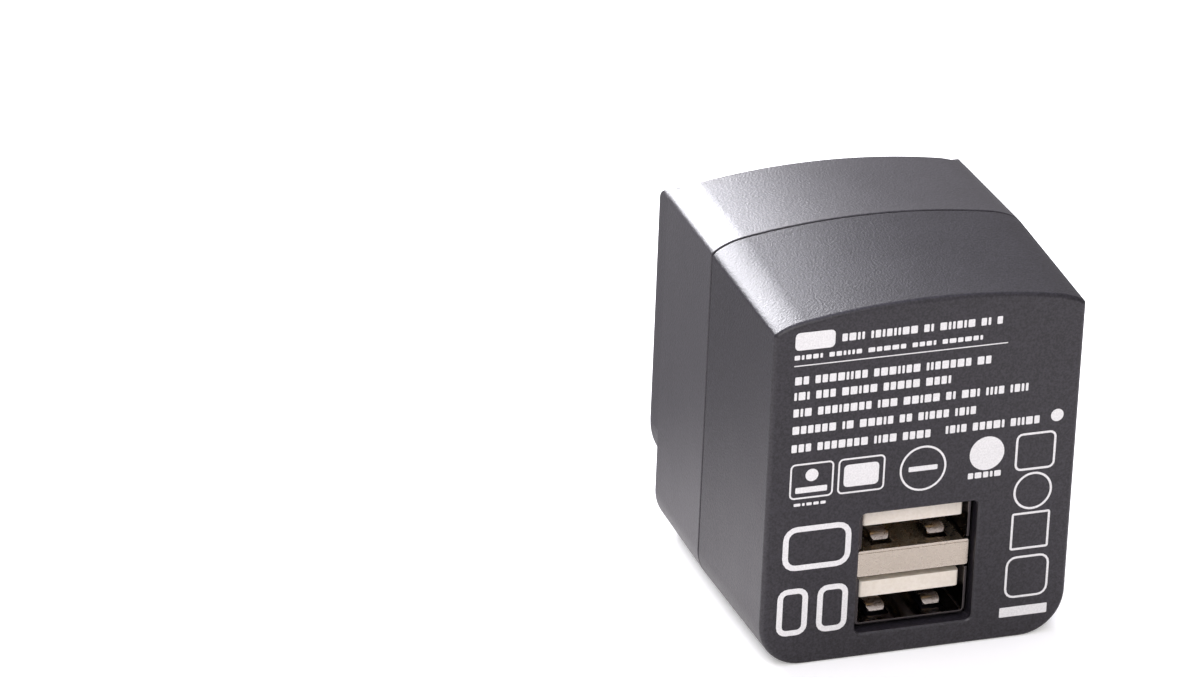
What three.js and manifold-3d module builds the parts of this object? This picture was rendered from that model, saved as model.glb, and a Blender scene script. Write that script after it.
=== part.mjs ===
// A two-port USB wall charger body with a slide-on plug interface. Millimetres, +Z up.
// The ports face -Y, the plug interface faces +Y, and the body stands on z = 0.
import * as THREE from 'three';
import { mergeVertices } from 'three/addons/utils/BufferGeometryUtils.js';
import Module from 'manifold-3d';

const wasm = await Module();
wasm.setup();

// ---------- driving dimensions ----------
const gap = 0.3; // clearance between neighbouring pieces

// housing: three drafted sections, joined by straight walls
const frontY = -20.6;
const seamY = -0.8;
const floorY = 14.6; // seat of the plug head
const chinY = 15.2;
const rimY = 18.8;
const sections = [
  { y: frontY, half: 18.16, crown: 43.1, drop: 0.85, reach: 3.6 },
  { y: seamY, half: 18.42, crown: 44.58, drop: 1.25, reach: 4.0 },
  { y: chinY, half: 18.09, crown: 44.62, drop: 1.2, reach: 4.0 },
];
const archRadius = 88;
const footRadius = 5.2; // lower corners of the body
const wall = 1.8;
const lipInset = 0.65; // outer wall left beside the locating lip
const lipPlay = 0.33;
const lipDepth = 1.5;

// plug interface
const rimBottom = 5.8;
const rimRadius = 7;
const rimRoundZ = 37; // where the rounded top of the rim begins
const rimTopZ = 42.7; // and where it runs out in the chin
const recessBottom = 7.2;
const grooveHalf = 16.4;
const railHalf = 14.6;
const railBack = floorY + 2.0; // rear face of the guide rails
const railTop = 37;
const slotX = 10.9;
const slotWide = { half: 1.5, bottom: 25.4, top: 32.2 };
const slotNarrow = { half: 0.7, bottom: 21 };

// latch tongue
const latchTop = 22.3;
const latchBottom = 5.85;
const latchHalfTop = 4.12;
const latchHalfBottom = 4.68;
const latchSlit = 0.45;
const latchThick = 1.3;
const latchFootY = 18.0;
const catchTop = 18.5;
const catchBottom = 8.9;
const catchRise = 2.05;

// USB stack
const windowBox = { half: 6.95, bottom: 2.95, top: 17.75 };
const stackFrontY = frontY + 1.2;
const stackDepth = 17.5;
const stackHalf = 6.55;
const stackBottom = 3.4;
const stackTop = 18.55;
const sheet = 0.3;
const bandBottom = 9.4;
const bandTop = 12.55;
const tongueHalf = 5.9;
const tongueThick = 1.9;
const tongueDrop = 1.05; // port ceiling to tongue
const tabX = 3.3;
const tabWidth = 2.1;
const tabRoot = 9.2;
const tabTip = 1.7;
const pinXs = [-3.5, -1.0, 1.0, 3.5];

// main board, standing at the seam
const boardY = -1.5;
const boardThick = 1.4;
const boardHalf = 15.5;
const boardBottom = 2.6;
const boardTop = 39.4;

// ---------- materials ----------
const finish = (color, roughness, metalness = 0) =>
  new THREE.MeshStandardMaterial({ color, roughness, metalness });
const housingPlastic = finish(0x39373b, 0.55);
const nickel = finish(0xd8cdbd, 0.3, 1);
const brightNickel = finish(0xe2ded6, 0.18, 1);
const tongueWhite = finish(0xefeae2, 0.5);
const goldPlate = finish(0xd9b35c, 0.25, 1);
const boardGreen = finish(0x2f6b3c, 0.5);
const ferrite = finish(0x3d3d40, 0.6);
const bobbinBlack = finish(0x1e1e20, 0.5);
const copper = finish(0xb8642f, 0.35, 1);
const tapeYellow = finish(0xe8c63a, 0.4);
const sleeveBlack = finish(0x22262f, 0.4);
const sleeveGreen = finish(0x2f5f52, 0.4);
const epoxyBlack = finish(0x1b1b1d, 0.55);
const discBlue = finish(0x2f5fae, 0.4);
const resistorGreen = finish(0x5d8a63, 0.5);
const wireRed = finish(0xa8322c, 0.5);

// ---------- solid helpers ----------
function toSolid(geometry) {
  let g = geometry.clone();
  g.deleteAttribute('normal');
  g.deleteAttribute('uv');
  g = mergeVertices(g, 1e-4);
  return new wasm.Manifold(new wasm.Mesh({
    numProp: 3,
    vertProperties: Float32Array.from(g.attributes.position.array),
    triVerts: Uint32Array.from(g.index.array),
  }));
}

function toGeometry(solid) {
  const mesh = solid.getMesh();
  const g = new THREE.BufferGeometry();
  g.setAttribute('position', new THREE.BufferAttribute(Float32Array.from(mesh.vertProperties), 3));
  g.setIndex(new THREE.BufferAttribute(Uint32Array.from(mesh.triVerts), 1));
  g.computeVertexNormals();
  return g;
}

const unite = (...solids) => solids.reduce((sum, s) => sum.add(s));
const cut = (solid, ...tools) => tools.reduce((rest, t) => rest.subtract(t), solid);

function box(x0, x1, y0, y1, z0, z1) {
  const g = new THREE.BoxGeometry(x1 - x0, y1 - y0, z1 - z0);
  g.translate((x0 + x1) / 2, (y0 + y1) / 2, (z0 + z1) / 2);
  return toSolid(g);
}

function extrude(shape, depth, basis, curveSegments = 6) {
  const g = new THREE.ExtrudeGeometry(shape, { depth, bevelEnabled: false, curveSegments });
  g.applyMatrix4(basis);
  return toSolid(g);
}

// a shape drawn in (x, z), filling y0 to y1
function prismY(shape, y0, y1, curveSegments) {
  const basis = new THREE.Matrix4().set(1, 0, 0, 0, 0, 0, -1, y1, 0, 1, 0, 0, 0, 0, 0, 1);
  return extrude(shape, y1 - y0, basis, curveSegments);
}

// a shape drawn in (y, z), filling x0 to x1
function prismX(shape, x0, x1, curveSegments) {
  const basis = new THREE.Matrix4().set(0, 0, 1, x0, 1, 0, 0, 0, 0, 1, 0, 0, 0, 0, 0, 1);
  return extrude(shape, x1 - x0, basis, curveSegments);
}

// a shape drawn in (x, y), filling z0 to z1
function prismZ(shape, z0, z1, curveSegments) {
  return extrude(shape, z1 - z0, new THREE.Matrix4().makeTranslation(0, 0, z0), curveSegments);
}

function cylinderZ(radius, z0, z1, sides = 24) {
  const g = new THREE.CylinderGeometry(radius, radius, z1 - z0, sides);
  g.rotateX(Math.PI / 2);
  g.translate(0, 0, (z0 + z1) / 2);
  return toSolid(g);
}

function turned(points, sides = 28) {
  const g = new THREE.LatheGeometry(points.map(([r, z]) => new THREE.Vector2(r, z)), sides);
  g.rotateX(Math.PI / 2);
  return toSolid(g);
}

const polygon = (points) => new THREE.Shape(points.map(([a, b]) => new THREE.Vector2(a, b)));

function roundRect(x0, x1, y0, y1, radius) {
  const s = new THREE.Shape();
  s.moveTo(x0 + radius, y0);
  s.lineTo(x1 - radius, y0);
  s.absarc(x1 - radius, y0 + radius, radius, -Math.PI / 2, 0);
  s.lineTo(x1, y1 - radius);
  s.absarc(x1 - radius, y1 - radius, radius, 0, Math.PI / 2);
  s.lineTo(x0 + radius, y1);
  s.absarc(x0 + radius, y1 - radius, radius, Math.PI / 2, Math.PI);
  s.lineTo(x0, y0 + radius);
  s.absarc(x0 + radius, y0 + radius, radius, Math.PI, Math.PI * 1.5);
  return s;
}

function arcPoints(cx, cy, radius, from, to, steps) {
  return Array.from({ length: steps + 1 }, (_, i) => {
    const a = from + (to - from) * i / steps;
    return [cx + radius * Math.cos(a), cy + radius * Math.sin(a)];
  });
}

// joins rings of equal length into one closed body, with flat ends
function loft(rings) {
  const count = rings[0].length;
  const position = rings.flat().flat();
  const index = [];
  for (let r = 0; r + 1 < rings.length; r++) {
    for (let i = 0; i < count; i++) {
      const a = r * count + i;
      const b = r * count + (i + 1) % count;
      index.push(a, b, b + count, a, b + count, a + count);
    }
  }
  const last = (rings.length - 1) * count;
  const face = rings[0].map(([x, , z]) => new THREE.Vector2(x, z));
  for (const [a, b, c] of THREE.ShapeUtils.triangulateShape(face, [])) {
    index.push(a, c, b, last + a, last + b, last + c);
  }
  const g = new THREE.BufferGeometry();
  g.setAttribute('position', new THREE.Float32BufferAttribute(position, 3));
  g.setIndex(index);
  const solid = toSolid(g);
  if (solid.volume() > 0) return solid;
  g.setIndex(index.reduce((out, _, i) => (i % 3 ? out : out.concat(index[i], index[i + 2], index[i + 1])), []));
  return toSolid(g);
}

// ---------- housing ----------
// outline of a section: round lower corners, upright sides, shoulders that fall off an arched top
function housingOutline({ half, bottom, crown, corner, drop, reach }) {
  const arch = (x) => crown - archRadius + Math.sqrt(archRadius ** 2 - x ** 2);
  const start = half - reach;
  const shoulder = Array.from({ length: 9 }, (_, i) => {
    const a = Math.PI / 2 * i / 8;
    const x = start + reach * Math.cos(a);
    return [x, arch(x) - drop * (1 - Math.sin(a))];
  });
  const top = Array.from({ length: 9 }, (_, i) => start - start * (i + 1) / 5);
  return [
    ...arcPoints(-half + corner, bottom + corner, corner, Math.PI, Math.PI * 1.5, 8),
    ...arcPoints(half - corner, bottom + corner, corner, -Math.PI / 2, 0, 8),
    ...shoulder,
    ...top.map((x) => [x, arch(x)]),
    ...shoulder.map(([x, z]) => [-x, z]).reverse(),
  ];
}

function sectionAt(y) {
  const [a, b] = y < seamY ? [sections[0], sections[1]] : [sections[1], sections[2]];
  const t = (y - a.y) / (b.y - a.y);
  const mix = (key) => a[key] + (b[key] - a[key]) * t;
  return { half: mix('half'), crown: mix('crown'), drop: mix('drop'), reach: mix('reach') };
}

function housingRing(y, inset) {
  const { half, crown, drop, reach } = sectionAt(y);
  const outline = housingOutline({
    half: half - inset,
    bottom: inset,
    crown: crown - inset,
    corner: footRadius - inset,
    drop: Math.max(drop - inset * 0.5, 0.3),
    reach: reach - inset,
  });
  return outline.map(([x, z]) => [x, y, z]);
}

const housingBlock = (stations) => loft(stations.map(([y, inset]) => housingRing(y, inset)));

function frontShell() {
  const mouth = seamY - gap / 2;
  const outside = housingBlock([
    [frontY, 0.45], [frontY + 0.13, 0.13], [frontY + 0.45, 0], [mouth - 0.2, 0], [mouth, 0.15],
  ]);
  const inside = housingBlock([[frontY + wall, wall], [seamY + 1, wall]]);
  const rebate = housingBlock([[mouth - lipDepth - gap, lipInset], [seamY + 1, lipInset]]);
  const window = prismY(roundRect(-windowBox.half, windowBox.half, windowBox.bottom, windowBox.top, 0.7),
    frontY - 1, frontY + wall + 1, 4);
  const stackPocket = box(-stackHalf - gap, stackHalf + gap, stackFrontY - gap, frontY + wall + 1,
    stackBottom - gap, stackTop + gap);
  let shell = cut(outside, inside, rebate, window, stackPocket);
  for (const side of [-1, 1]) {
    for (const z of [boardBottom + 4.5, boardTop - 3]) { // posts that hold the board
      const x = side * (boardHalf - 0.2);
      const post = box(x - 0.9, x + 0.9, frontY + wall - 0.5, boardY - gap, z - 1, z + 1);
      const web = box(Math.min(x, side * 17), Math.max(x, side * 17), frontY + wall - 0.5, seamY - 4,
        z - 0.5, z + 0.5);
      shell = unite(shell, post, web);
    }
  }
  return shell;
}

const recessShape = (half, bottom, top, corner) => polygon([
  ...arcPoints(-half + corner, bottom + corner, corner, Math.PI, Math.PI * 1.5, 7),
  ...arcPoints(half - corner, bottom + corner, corner, -Math.PI / 2, 0, 7),
  [half, top], [-half, top],
]);

// the tongue's outline in (x, z), grown by a clearance at its sides
const latchOutline = (grow, bottom, top) => polygon([
  [-latchHalfBottom - grow, bottom], [latchHalfBottom + grow, bottom],
  [latchHalfTop + grow, top], [-latchHalfTop - grow, top],
]);

function contactSlot(side) {
  const x = side * slotX;
  const wide = box(x - slotWide.half, x + slotWide.half, floorY - wall - 1, floorY + 1, slotWide.bottom, slotWide.top);
  const narrow = box(x - slotNarrow.half, x + slotNarrow.half, floorY - wall - 1, floorY + 1,
    slotNarrow.bottom, slotWide.bottom + 0.1);
  return unite(wide, narrow);
}

function rearShell() {
  const mouth = seamY + gap / 2;
  const body = housingBlock([[mouth, 0.15], [mouth + 0.2, 0], [chinY - 0.35, 0], [chinY - 0.1, 0.1], [chinY, 0.35]]);
  const { half, crown, drop, reach } = sectionAt(chinY);
  const rimRing = ([y, inset]) => housingOutline({
    half: half - inset, bottom: rimBottom + inset * 0.5, crown: crown - 0.02, corner: rimRadius - inset * 0.5, drop, reach,
  }).map(([x, z]) => [x, y, z]);
  const side = new THREE.Shape(); // side view of the rim
  side.moveTo(floorY - 2, 0);
  side.lineTo(rimY, 0);
  side.lineTo(rimY, rimRoundZ);
  side.absellipse(floorY, rimRoundZ, rimY - floorY, rimTopZ - rimRoundZ, 0, Math.PI / 2, false);
  side.lineTo(floorY - 2, crown);
  const rimStations = [[floorY - 2, 0.02], [rimY - 1.4, 0.02], [rimY - 0.7, 0.22], [rimY - 0.25, 0.66], [rimY, 1.35]];
  const rim = loft(rimStations.map(rimRing)).intersect(prismX(side, -20, 20, 12));
  const lip = housingBlock([[seamY - lipDepth, lipInset + lipPlay], [seamY + 1, lipInset + lipPlay]]);
  const inside = housingBlock([[seamY - lipDepth - 1, wall], [floorY - wall, wall]]);
  const floorCut = prismY(recessShape(grooveHalf, recessBottom, 60, 5.5), floorY, railBack);
  const railCut = prismY(recessShape(railHalf, recessBottom, 60, 3.8), floorY, rimY + 1);
  const mouthCut = box(-grooveHalf, grooveHalf, floorY, rimY + 1, railTop, 60);
  const latchCut = prismY(latchOutline(latchSlit, latchBottom - 0.6, latchTop + gap), floorY - wall - 1, rimY + 1);
  const ribs = [-1, 1].flatMap((side) => [24, 35.5].map((z) => // the board rests against these
    box(Math.min(side * 15, side * 17), Math.max(side * 15, side * 17), boardY + boardThick + gap, floorY - 1, z, z + 1.2)));
  const guides = [-1, 1].flatMap((side) => [ // beside the fixed contact bases
    box(...[side * (slotX + 1.5), side * (slotX + 2.2)].sort((a, b) => a - b), floorY - 6, floorY - 1, 27.5, 36.3),
    box(...[side * (slotX - 2.2), side * (slotX - 1.5)].sort((a, b) => a - b), floorY - 6, floorY - 1, 27.5, 30),
  ]);
  return cut(unite(body, rim, lip), inside, floorCut, railCut, mouthCut, latchCut, contactSlot(-1), contactSlot(1))
    .add(unite(...ribs, ...guides));
}

function latchTongue() {
  const back = floorY - latchThick;
  const profile = polygon([
    [back, latchBottom - 0.2], [floorY, latchBottom - 0.2], [latchFootY - 0.3, latchBottom],
    [latchFootY, latchBottom + 0.3], [latchFootY, recessBottom - 0.25], [latchFootY - 0.25, recessBottom],
    [floorY, recessBottom], [floorY, catchBottom], [floorY + catchRise - 0.2, catchBottom],
    [floorY + catchRise, catchBottom + 0.2], [floorY, catchTop], [floorY, latchTop], [back + 0.3, latchTop],
    [back, latchTop - 4],
  ]);
  const tongue = prismX(profile, -6, 6).intersect(prismY(latchOutline(0, latchBottom - 0.2, latchTop), 5, 20));
  const trim = prismY(latchOutline(-0.2, recessBottom + 0.8, latchTop), floorY, 20); // the catch is a little narrower
  const keep = box(-6, 6, 5, floorY, 0, 30).add(box(-6, 6, 5, 20, 0, recessBottom + 0.8)).add(trim);
  return tongue.intersect(keep);
}

// ---------- mains contacts, drawn about x = 0 ----------
// a strip of even thickness along a list of (y, z) points
function stripProfile(points, thick) {
  const path = points.map(([a, b]) => new THREE.Vector2(a, b));
  const offset = (i, side) => {
    const before = path[Math.max(i - 1, 0)];
    const after = path[Math.min(i + 1, path.length - 1)];
    const along = after.clone().sub(before).normalize();
    return [path[i].x - along.y * side * thick / 2, path[i].y + along.x * side * thick / 2];
  };
  const left = path.map((_, i) => offset(i, 1));
  const right = path.map((_, i) => offset(i, -1));
  return polygon([...left, ...right.reverse()]);
}

function contactSpring() {
  const noseY = floorY + 4.95;
  const noseZ = 26.85;
  const path = [
    [floorY - 4.2, 34.0], [floorY - 3.1, 33.2], [floorY - 2.4, 31.9], [floorY - 1.4, 31.35], [floorY + 0.9, 30.6],
    [noseY - 0.6, noseZ + 1.65],
    ...arcPoints(noseY, noseZ, 0.87, Math.PI * 0.3, -Math.PI * 0.55, 8),
    [noseY - 1.3, noseZ - 0.62], [floorY + 1.0, 26.85], [floorY - 1.2, 27.2],
  ];
  const strip = prismX(stripProfile(path, 0.35), -1.2, 1.2);
  const slits = [-0.42, 0.42].map((x) => box(x - 0.11, x + 0.11, floorY + 3.2, rimY + 5, 20, 40));
  return cut(strip, ...slits);
}

function contactBase() {
  const plate = box(-1.2, 1.2, floorY - 5.6, floorY - 5.1, 27.5, 36.0);
  const foot = box(-1.2, 1.2, floorY - 5.6, floorY - 4.3, 35.3, 36.0);
  const crimp = box(-0.9, 0.9, floorY - 6.4, floorY - 5.2, 27.5, 29.0);
  return unite(plate, foot, crimp);
}

function contactWire(side) {
  const start = new THREE.Vector3(0, floorY - 6.95, 28.2);
  const end = new THREE.Vector3(-side * 0.4, boardY + boardThick + 0.5, 25.0);
  const route = new THREE.CatmullRomCurve3([
    start, new THREE.Vector3(0, floorY - 8.2, 27.6), new THREE.Vector3(0, 3, 24.6), end,
  ]);
  const ring = new THREE.Shape().absarc(0, 0, 0.6, 0, Math.PI * 2);
  const g = new THREE.ExtrudeGeometry(ring, { steps: 14, extrudePath: route, curveSegments: 5, bevelEnabled: false });
  return toSolid(g);
}

// ---------- USB stack, drawn with its front at y = 0 ----------
const insideHalf = stackHalf - sheet;

function usbShield() {
  const outer = box(-stackHalf, stackHalf, 0, stackDepth, stackBottom, stackTop);
  const inner = box(-insideHalf, insideHalf, -1, stackDepth - sheet, stackBottom + sheet, stackTop - sheet);
  const bandNotch = box(-8, 8, -1, sheet + gap, bandBottom - gap, bandTop + gap);
  const tabWindows = [-tabX, tabX].map((x) => box(x - tabWidth / 2 - gap, x + tabWidth / 2 + gap,
    tabTip - 0.5, tabRoot + gap, stackBottom - 1, stackBottom + 1));
  const sideWindows = [-1, 1].flatMap((side) => [bandBottom - 3, bandTop + 2.6].map((z) =>
    box(side * 6.4 - 0.6, side * 6.4 + 0.6, 4, 9.5, z - 0.9, z + 0.9)));
  const back = box(-tongueHalf, tongueHalf, stackDepth - 1, stackDepth + 1, stackBottom + 1.2, stackTop - 1.2);
  return cut(outer, inner, bandNotch, back, ...tabWindows, ...sideWindows);
}

function usbDivider() {
  const half = insideHalf - gap;
  const band = prismY(roundRect(-stackHalf, stackHalf, bandBottom, bandTop, 0.25), 0, sheet, 3);
  const top = box(-half, half, sheet / 2, 14, bandTop - sheet, bandTop);
  const low = box(-half, half, sheet / 2, 14, bandBottom, bandBottom + sheet);
  const back = box(-half, half, 14 - sheet, 14, bandBottom, bandTop);
  const tabWindows = [-tabX, tabX].map((x) => box(x - tabWidth / 2 - gap, x + tabWidth / 2 + gap,
    tabTip - 0.5, tabRoot + gap, bandTop - 0.5, bandTop + 1));
  return cut(unite(band, top, low, back), ...tabWindows);
}

const contactZ = (ceiling) => ceiling - tongueDrop - tongueThick + 0.35; // underside strip

function usbTongue(ceiling, low) {
  const top = ceiling - tongueDrop;
  const bottom = top - tongueThick;
  const blade = prismZ(roundRect(-tongueHalf, tongueHalf, 0.75, 14.6, 0.3), bottom, top, 3);
  const block = box(-tongueHalf, tongueHalf, 14.4, stackDepth - sheet - gap, low + gap, ceiling - gap);
  const grooves = pinXs.map((x) => box(x - 0.85, x + 0.85, 1.6, stackDepth + 1, bottom - 0.02, contactZ(ceiling) + 0.95));
  return cut(unite(blade, block), ...grooves);
}

function usbContact(ceiling) {
  const z = contactZ(ceiling);
  const path = [[2.1, z + 0.15], [2.6, z - 0.35], [3.3, z - 0.6], [4.2, z - 0.35], [5.5, z + 0.1], [17.2, z + 0.1]];
  return prismX(stripProfile(path, 0.22), -0.5, 0.5);
}

function usbTab(floor) {
  const path = [[tabRoot, floor - 0.15], [7.5, floor - 0.1], [4.6, floor + 0.55], [3.2, floor + 0.82], [2.4, floor + 0.72],
    [tabTip + 0.15, floor + 0.2]];
  const strip = prismX(stripProfile(path, 0.26), -tabWidth / 2, tabWidth / 2);
  const rounded = prismZ(roundRect(-tabWidth / 2, tabWidth / 2, tabTip, tabRoot, 0.5), 0, 30, 4);
  return strip.intersect(rounded);
}

// ---------- board components: standing on z = 0, leads going down ----------
const leadLength = gap + boardThick;
const lead = (x, y) => cylinderZ(0.3, -boardThick, gap + 0.5, 8).translate([x, y, 0]);
const withLeads = (body, leads) => unite(body, ...leads.map(([x, y]) => lead(x, y)));

function capacitor(radius, height, leads) {
  const can = turned([
    [0, gap], [radius - 0.5, gap], [radius - 0.1, gap + 0.3], [radius, gap + 0.8], [radius - 0.35, gap + 1.3],
    [radius, gap + 1.8], [radius, height - 0.4], [radius - 0.4, height], [radius - 1.0, height],
    [radius - 1.2, height - 0.25], [0, height - 0.25],
  ]);
  return withLeads(can, leads);
}

function chip(width, length, height) {
  const body = prismZ(roundRect(-width / 2, width / 2, -length / 2, length / 2, 0.3), gap + 0.2, height, 2);
  const legs = [];
  for (const side of [-1, 1]) {
    for (let y = -length / 2 + 0.65; y < length / 2; y += 1.27) {
      const x = side * width / 2;
      const foot = side * (width / 2 + 1.0);
      legs.push(box(Math.min(x - side * 0.2, x + side * 0.6), Math.max(x - side * 0.2, x + side * 0.6),
        y - 0.2, y + 0.2, height / 2, height / 2 + 0.25));
      legs.push(box(Math.min(x + side * 0.4, x + side * 0.6), Math.max(x + side * 0.4, x + side * 0.6),
        y - 0.2, y + 0.2, gap, height / 2 + 0.25));
      legs.push(box(Math.min(x + side * 0.4, foot), Math.max(x + side * 0.4, foot), y - 0.2, y + 0.2, gap, gap + 0.2));
    }
  }
  return unite(body, ...legs);
}

function blockWithLeads(width, length, height, leads) {
  const body = prismZ(roundRect(-width / 2, width / 2, -length / 2, length / 2, 0.5), gap, height, 3);
  return withLeads(body, leads);
}

// an axial part lying on the board, with both leads bent down
function axialPart(radius, length, leads) {
  const rise = gap + radius;
  const profile = [
    [0, -length / 2], [radius * 0.85, -length / 2], [radius, -length / 2 + 0.5], [radius, -length / 2 + 1.4],
    [radius * 0.9, -length / 2 + 2], [radius * 0.9, length / 2 - 2], [radius, length / 2 - 1.4],
    [radius, length / 2 - 0.5], [radius * 0.85, length / 2], [0, length / 2],
  ];
  const body = turned(profile, 20).rotate([90, 0, 0]).translate([0, 0, rise]);
  const reach = Math.abs(leads[0][1]);
  const bar = cylinderZ(0.3, -reach - 0.15, reach + 0.15, 8).rotate([90, 0, 0]).translate([0, 0, rise]);
  const posts = leads.map(([x, y]) => cylinderZ(0.3, -boardThick, rise + 0.2, 8).translate([x, y, 0]));
  return unite(body, bar, ...posts);
}

function drumChoke(radius, height, leads) {
  const core = turned([
    [0, gap], [radius, gap], [radius, gap + 0.9], [radius - 0.5, gap + 1.1], [radius - 0.5, height - 1.1],
    [radius, height - 0.9], [radius, height], [0, height],
  ]);
  return withLeads(core, leads);
}

function discCapacitor(radius, leads) {
  const disc = turned([
    [0, -1.6], [radius - 1.2, -1.5], [radius - 0.3, -0.9], [radius, 0], [radius - 0.3, 0.9], [radius - 1.2, 1.5], [0, 1.6],
  ], 24).rotate([90, 0, 90]).translate([0, 0, radius + 0.9]);
  const posts = leads.map(([x, y]) => cylinderZ(0.3, -boardThick, radius, 8).translate([x, y, 0]));
  return unite(disc, ...posts);
}

// ---------- transformer: winding axis along x, board at local z = 0 ----------
const core = { half: 8, width: 7.0, thick: 2.8, leg: 1.9, window: 5.2, back: 2.0, lift: 7.6 };

function coreHalf(side) {
  const x0 = gap / 2;
  const x1 = core.half;
  const w = core.width;
  const t = x1 - core.back;
  const outline = [
    [x0, -w], [x1, -w], [x1, w], [x0, w], [x0, core.window], [t, core.window], [t, core.leg], [x0, core.leg],
    [x0, -core.leg], [t, -core.leg], [t, -core.window], [x0, -core.window],
  ].map(([x, y]) => [x * side, y]);
  const solid = prismZ(polygon(outline), -core.thick, core.thick);
  return solid.rotate([90, 0, 0]).translate([0, 0, core.lift]);
}

function ringBlock(x0, x1, inner, outer) {
  const full = box(x0, x1, -outer[0], outer[0], core.lift - outer[1], core.lift + outer[1]);
  return cut(full, box(x0 - 1, x1 + 1, -inner[0], inner[0], core.lift - inner[1], core.lift + inner[1]));
}

const bobbinLeads = [-1, 1].flatMap((sx) => [-1, 1].flatMap((sy) => [5.4, 6.9].map((y) => [sx * 6.6, sy * y])));

function transformerBobbin() {
  const hole = [core.thick + gap, core.leg + gap];
  const tube = ringBlock(-5.7, 5.7, hole, [hole[0] + 0.6, hole[1] + 0.6]);
  const flanges = [-1, 1].map((s) => ringBlock(Math.min(s * 5, s * 5.7), Math.max(s * 5, s * 5.7),
    hole, [7.5, core.window - gap]));
  const rails = [-1, 1].flatMap((sx) => [-1, 1].map((sy) =>
    box(Math.min(sx * 5, sx * 7.4), Math.max(sx * 5, sx * 7.4),
      Math.min(sy * 4.6, sy * 7.5), Math.max(sy * 4.6, sy * 7.5), gap, core.lift - 1.5)));
  return withLeads(unite(tube, ...flanges, ...rails), bobbinLeads);
}

const transformerWinding = () => ringBlock(-4.7, 4.7, [core.thick + gap + 0.9, core.leg + gap + 0.9], [6.3, 4.1]);
const transformerTape = () => ringBlock(-4.7, 4.7, [6.6, 4.4], [7.1, 4.85]);

// ---------- placing of the board components ----------
const pairLeads = (pitch) => [[0, -pitch / 2], [0, pitch / 2]];
const quadLeads = (w, l) => [[-w, -l], [w, -l], [-w, l], [w, l]];
const components = [
  { name: 'output_capacitor_upper', side: 'front', x: 9.0, z: 33.6, leads: pairLeads(3.5), finish: sleeveGreen,
    make: (leads) => capacitor(4, 13.5, leads) },
  { name: 'output_capacitor_lower', side: 'front', x: 9.0, z: 24.8, leads: pairLeads(3.5), finish: sleeveGreen,
    make: (leads) => capacitor(4, 13.5, leads) },
  { name: 'output_inductor', side: 'front', x: 10.8, z: 8.0, leads: pairLeads(4), finish: ferrite,
    make: (leads) => drumChoke(3.1, 8, leads) },
  { name: 'output_diode', side: 'front', x: -11.4, z: 11.5, leads: pairLeads(13), finish: epoxyBlack,
    make: (leads) => axialPart(2.6, 9.4, leads) },
  { name: 'port_controller_chip', side: 'front', x: 11.4, z: 15.6, leads: [], finish: epoxyBlack,
    make: () => chip(3.9, 4.9, 1.9) },
  { name: 'bulk_capacitor_left', side: 'rear', x: -4.7, z: 33.4, leads: pairLeads(4.5), finish: sleeveBlack,
    make: (leads) => capacitor(4.25, 11.8, leads) },
  { name: 'bulk_capacitor_right', side: 'rear', x: 4.7, z: 33.4, leads: pairLeads(4.5), finish: sleeveBlack,
    make: (leads) => capacitor(4.25, 11.8, leads) },
  { name: 'bridge_rectifier', side: 'rear', x: -11.0, z: 18.6, leads: quadLeads(2.2, 2.2), finish: epoxyBlack,
    make: (leads) => blockWithLeads(6.4, 6.4, 3.4, leads) },
  { name: 'input_choke', side: 'rear', x: -11.0, z: 8.0, leads: pairLeads(4), finish: ferrite,
    make: (leads) => drumChoke(3.6, 8.5, leads) },
  { name: 'fusible_resistor', side: 'rear', x: 12.6, z: 14.0, leads: pairLeads(13.4), finish: resistorGreen,
    make: (leads) => axialPart(1.9, 9.6, leads) },
  { name: 'safety_capacitor', side: 'rear', x: 8.1, z: 8.6, leads: pairLeads(6), finish: discBlue,
    make: (leads) => discCapacitor(4.2, leads) },
  { name: 'switching_chip', side: 'rear', x: 0, z: 22.6, leads: [], finish: epoxyBlack,
    make: () => chip(6.2, 9.0, 3.4) },
  { name: 'optocoupler', side: 'rear', x: 0, z: 9.5, leads: [], finish: epoxyBlack,
    make: () => chip(6.2, 4.6, 3.2) },
];
const transformerPlace = { x: -5.9, z: 29.2 };

function mainBoard() {
  const board = prismY(roundRect(-boardHalf, boardHalf, boardBottom, boardTop, 2), boardY, boardY + boardThick, 4);
  const holes = components.flatMap(({ side, x, z, leads }) =>
    leads.map(([dx, dz]) => [x + (side === 'rear' ? -dx : dx), z + dz]));
  holes.push(...bobbinLeads.map(([dx, dz]) => [transformerPlace.x + dx, transformerPlace.z + dz]));
  const drills = holes.map(([x, z]) =>
    cylinderZ(0.65, 0, 4, 10).rotate([90, 0, 0]).translate([x, boardY + 3, z]));
  return cut(board, ...drills);
}

// ---------- assembly ----------
const charger = new THREE.Group();

function place(parent, name, solid, material, position = [0, 0, 0]) {
  const mesh = new THREE.Mesh(toGeometry(solid), material);
  mesh.name = name;
  mesh.position.set(...position);
  parent.add(mesh);
  return mesh;
}

place(charger, 'front_shell', frontShell(), housingPlastic);
place(charger, 'rear_shell', rearShell(), housingPlastic);
place(charger, 'latch_tongue', latchTongue(), housingPlastic);

for (const [label, side] of [['left', 1], ['right', -1]]) { // as seen from the plug side
  const contact = new THREE.Group();
  contact.position.set(side * slotX, 0, 0);
  place(contact, `contact_spring_${label}`, contactSpring(), brightNickel);
  place(contact, `contact_base_${label}`, contactBase(), nickel);
  place(contact, `contact_wire_${label}`, contactWire(side), side > 0 ? wireRed : sleeveBlack);
  charger.add(contact);
}

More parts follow.
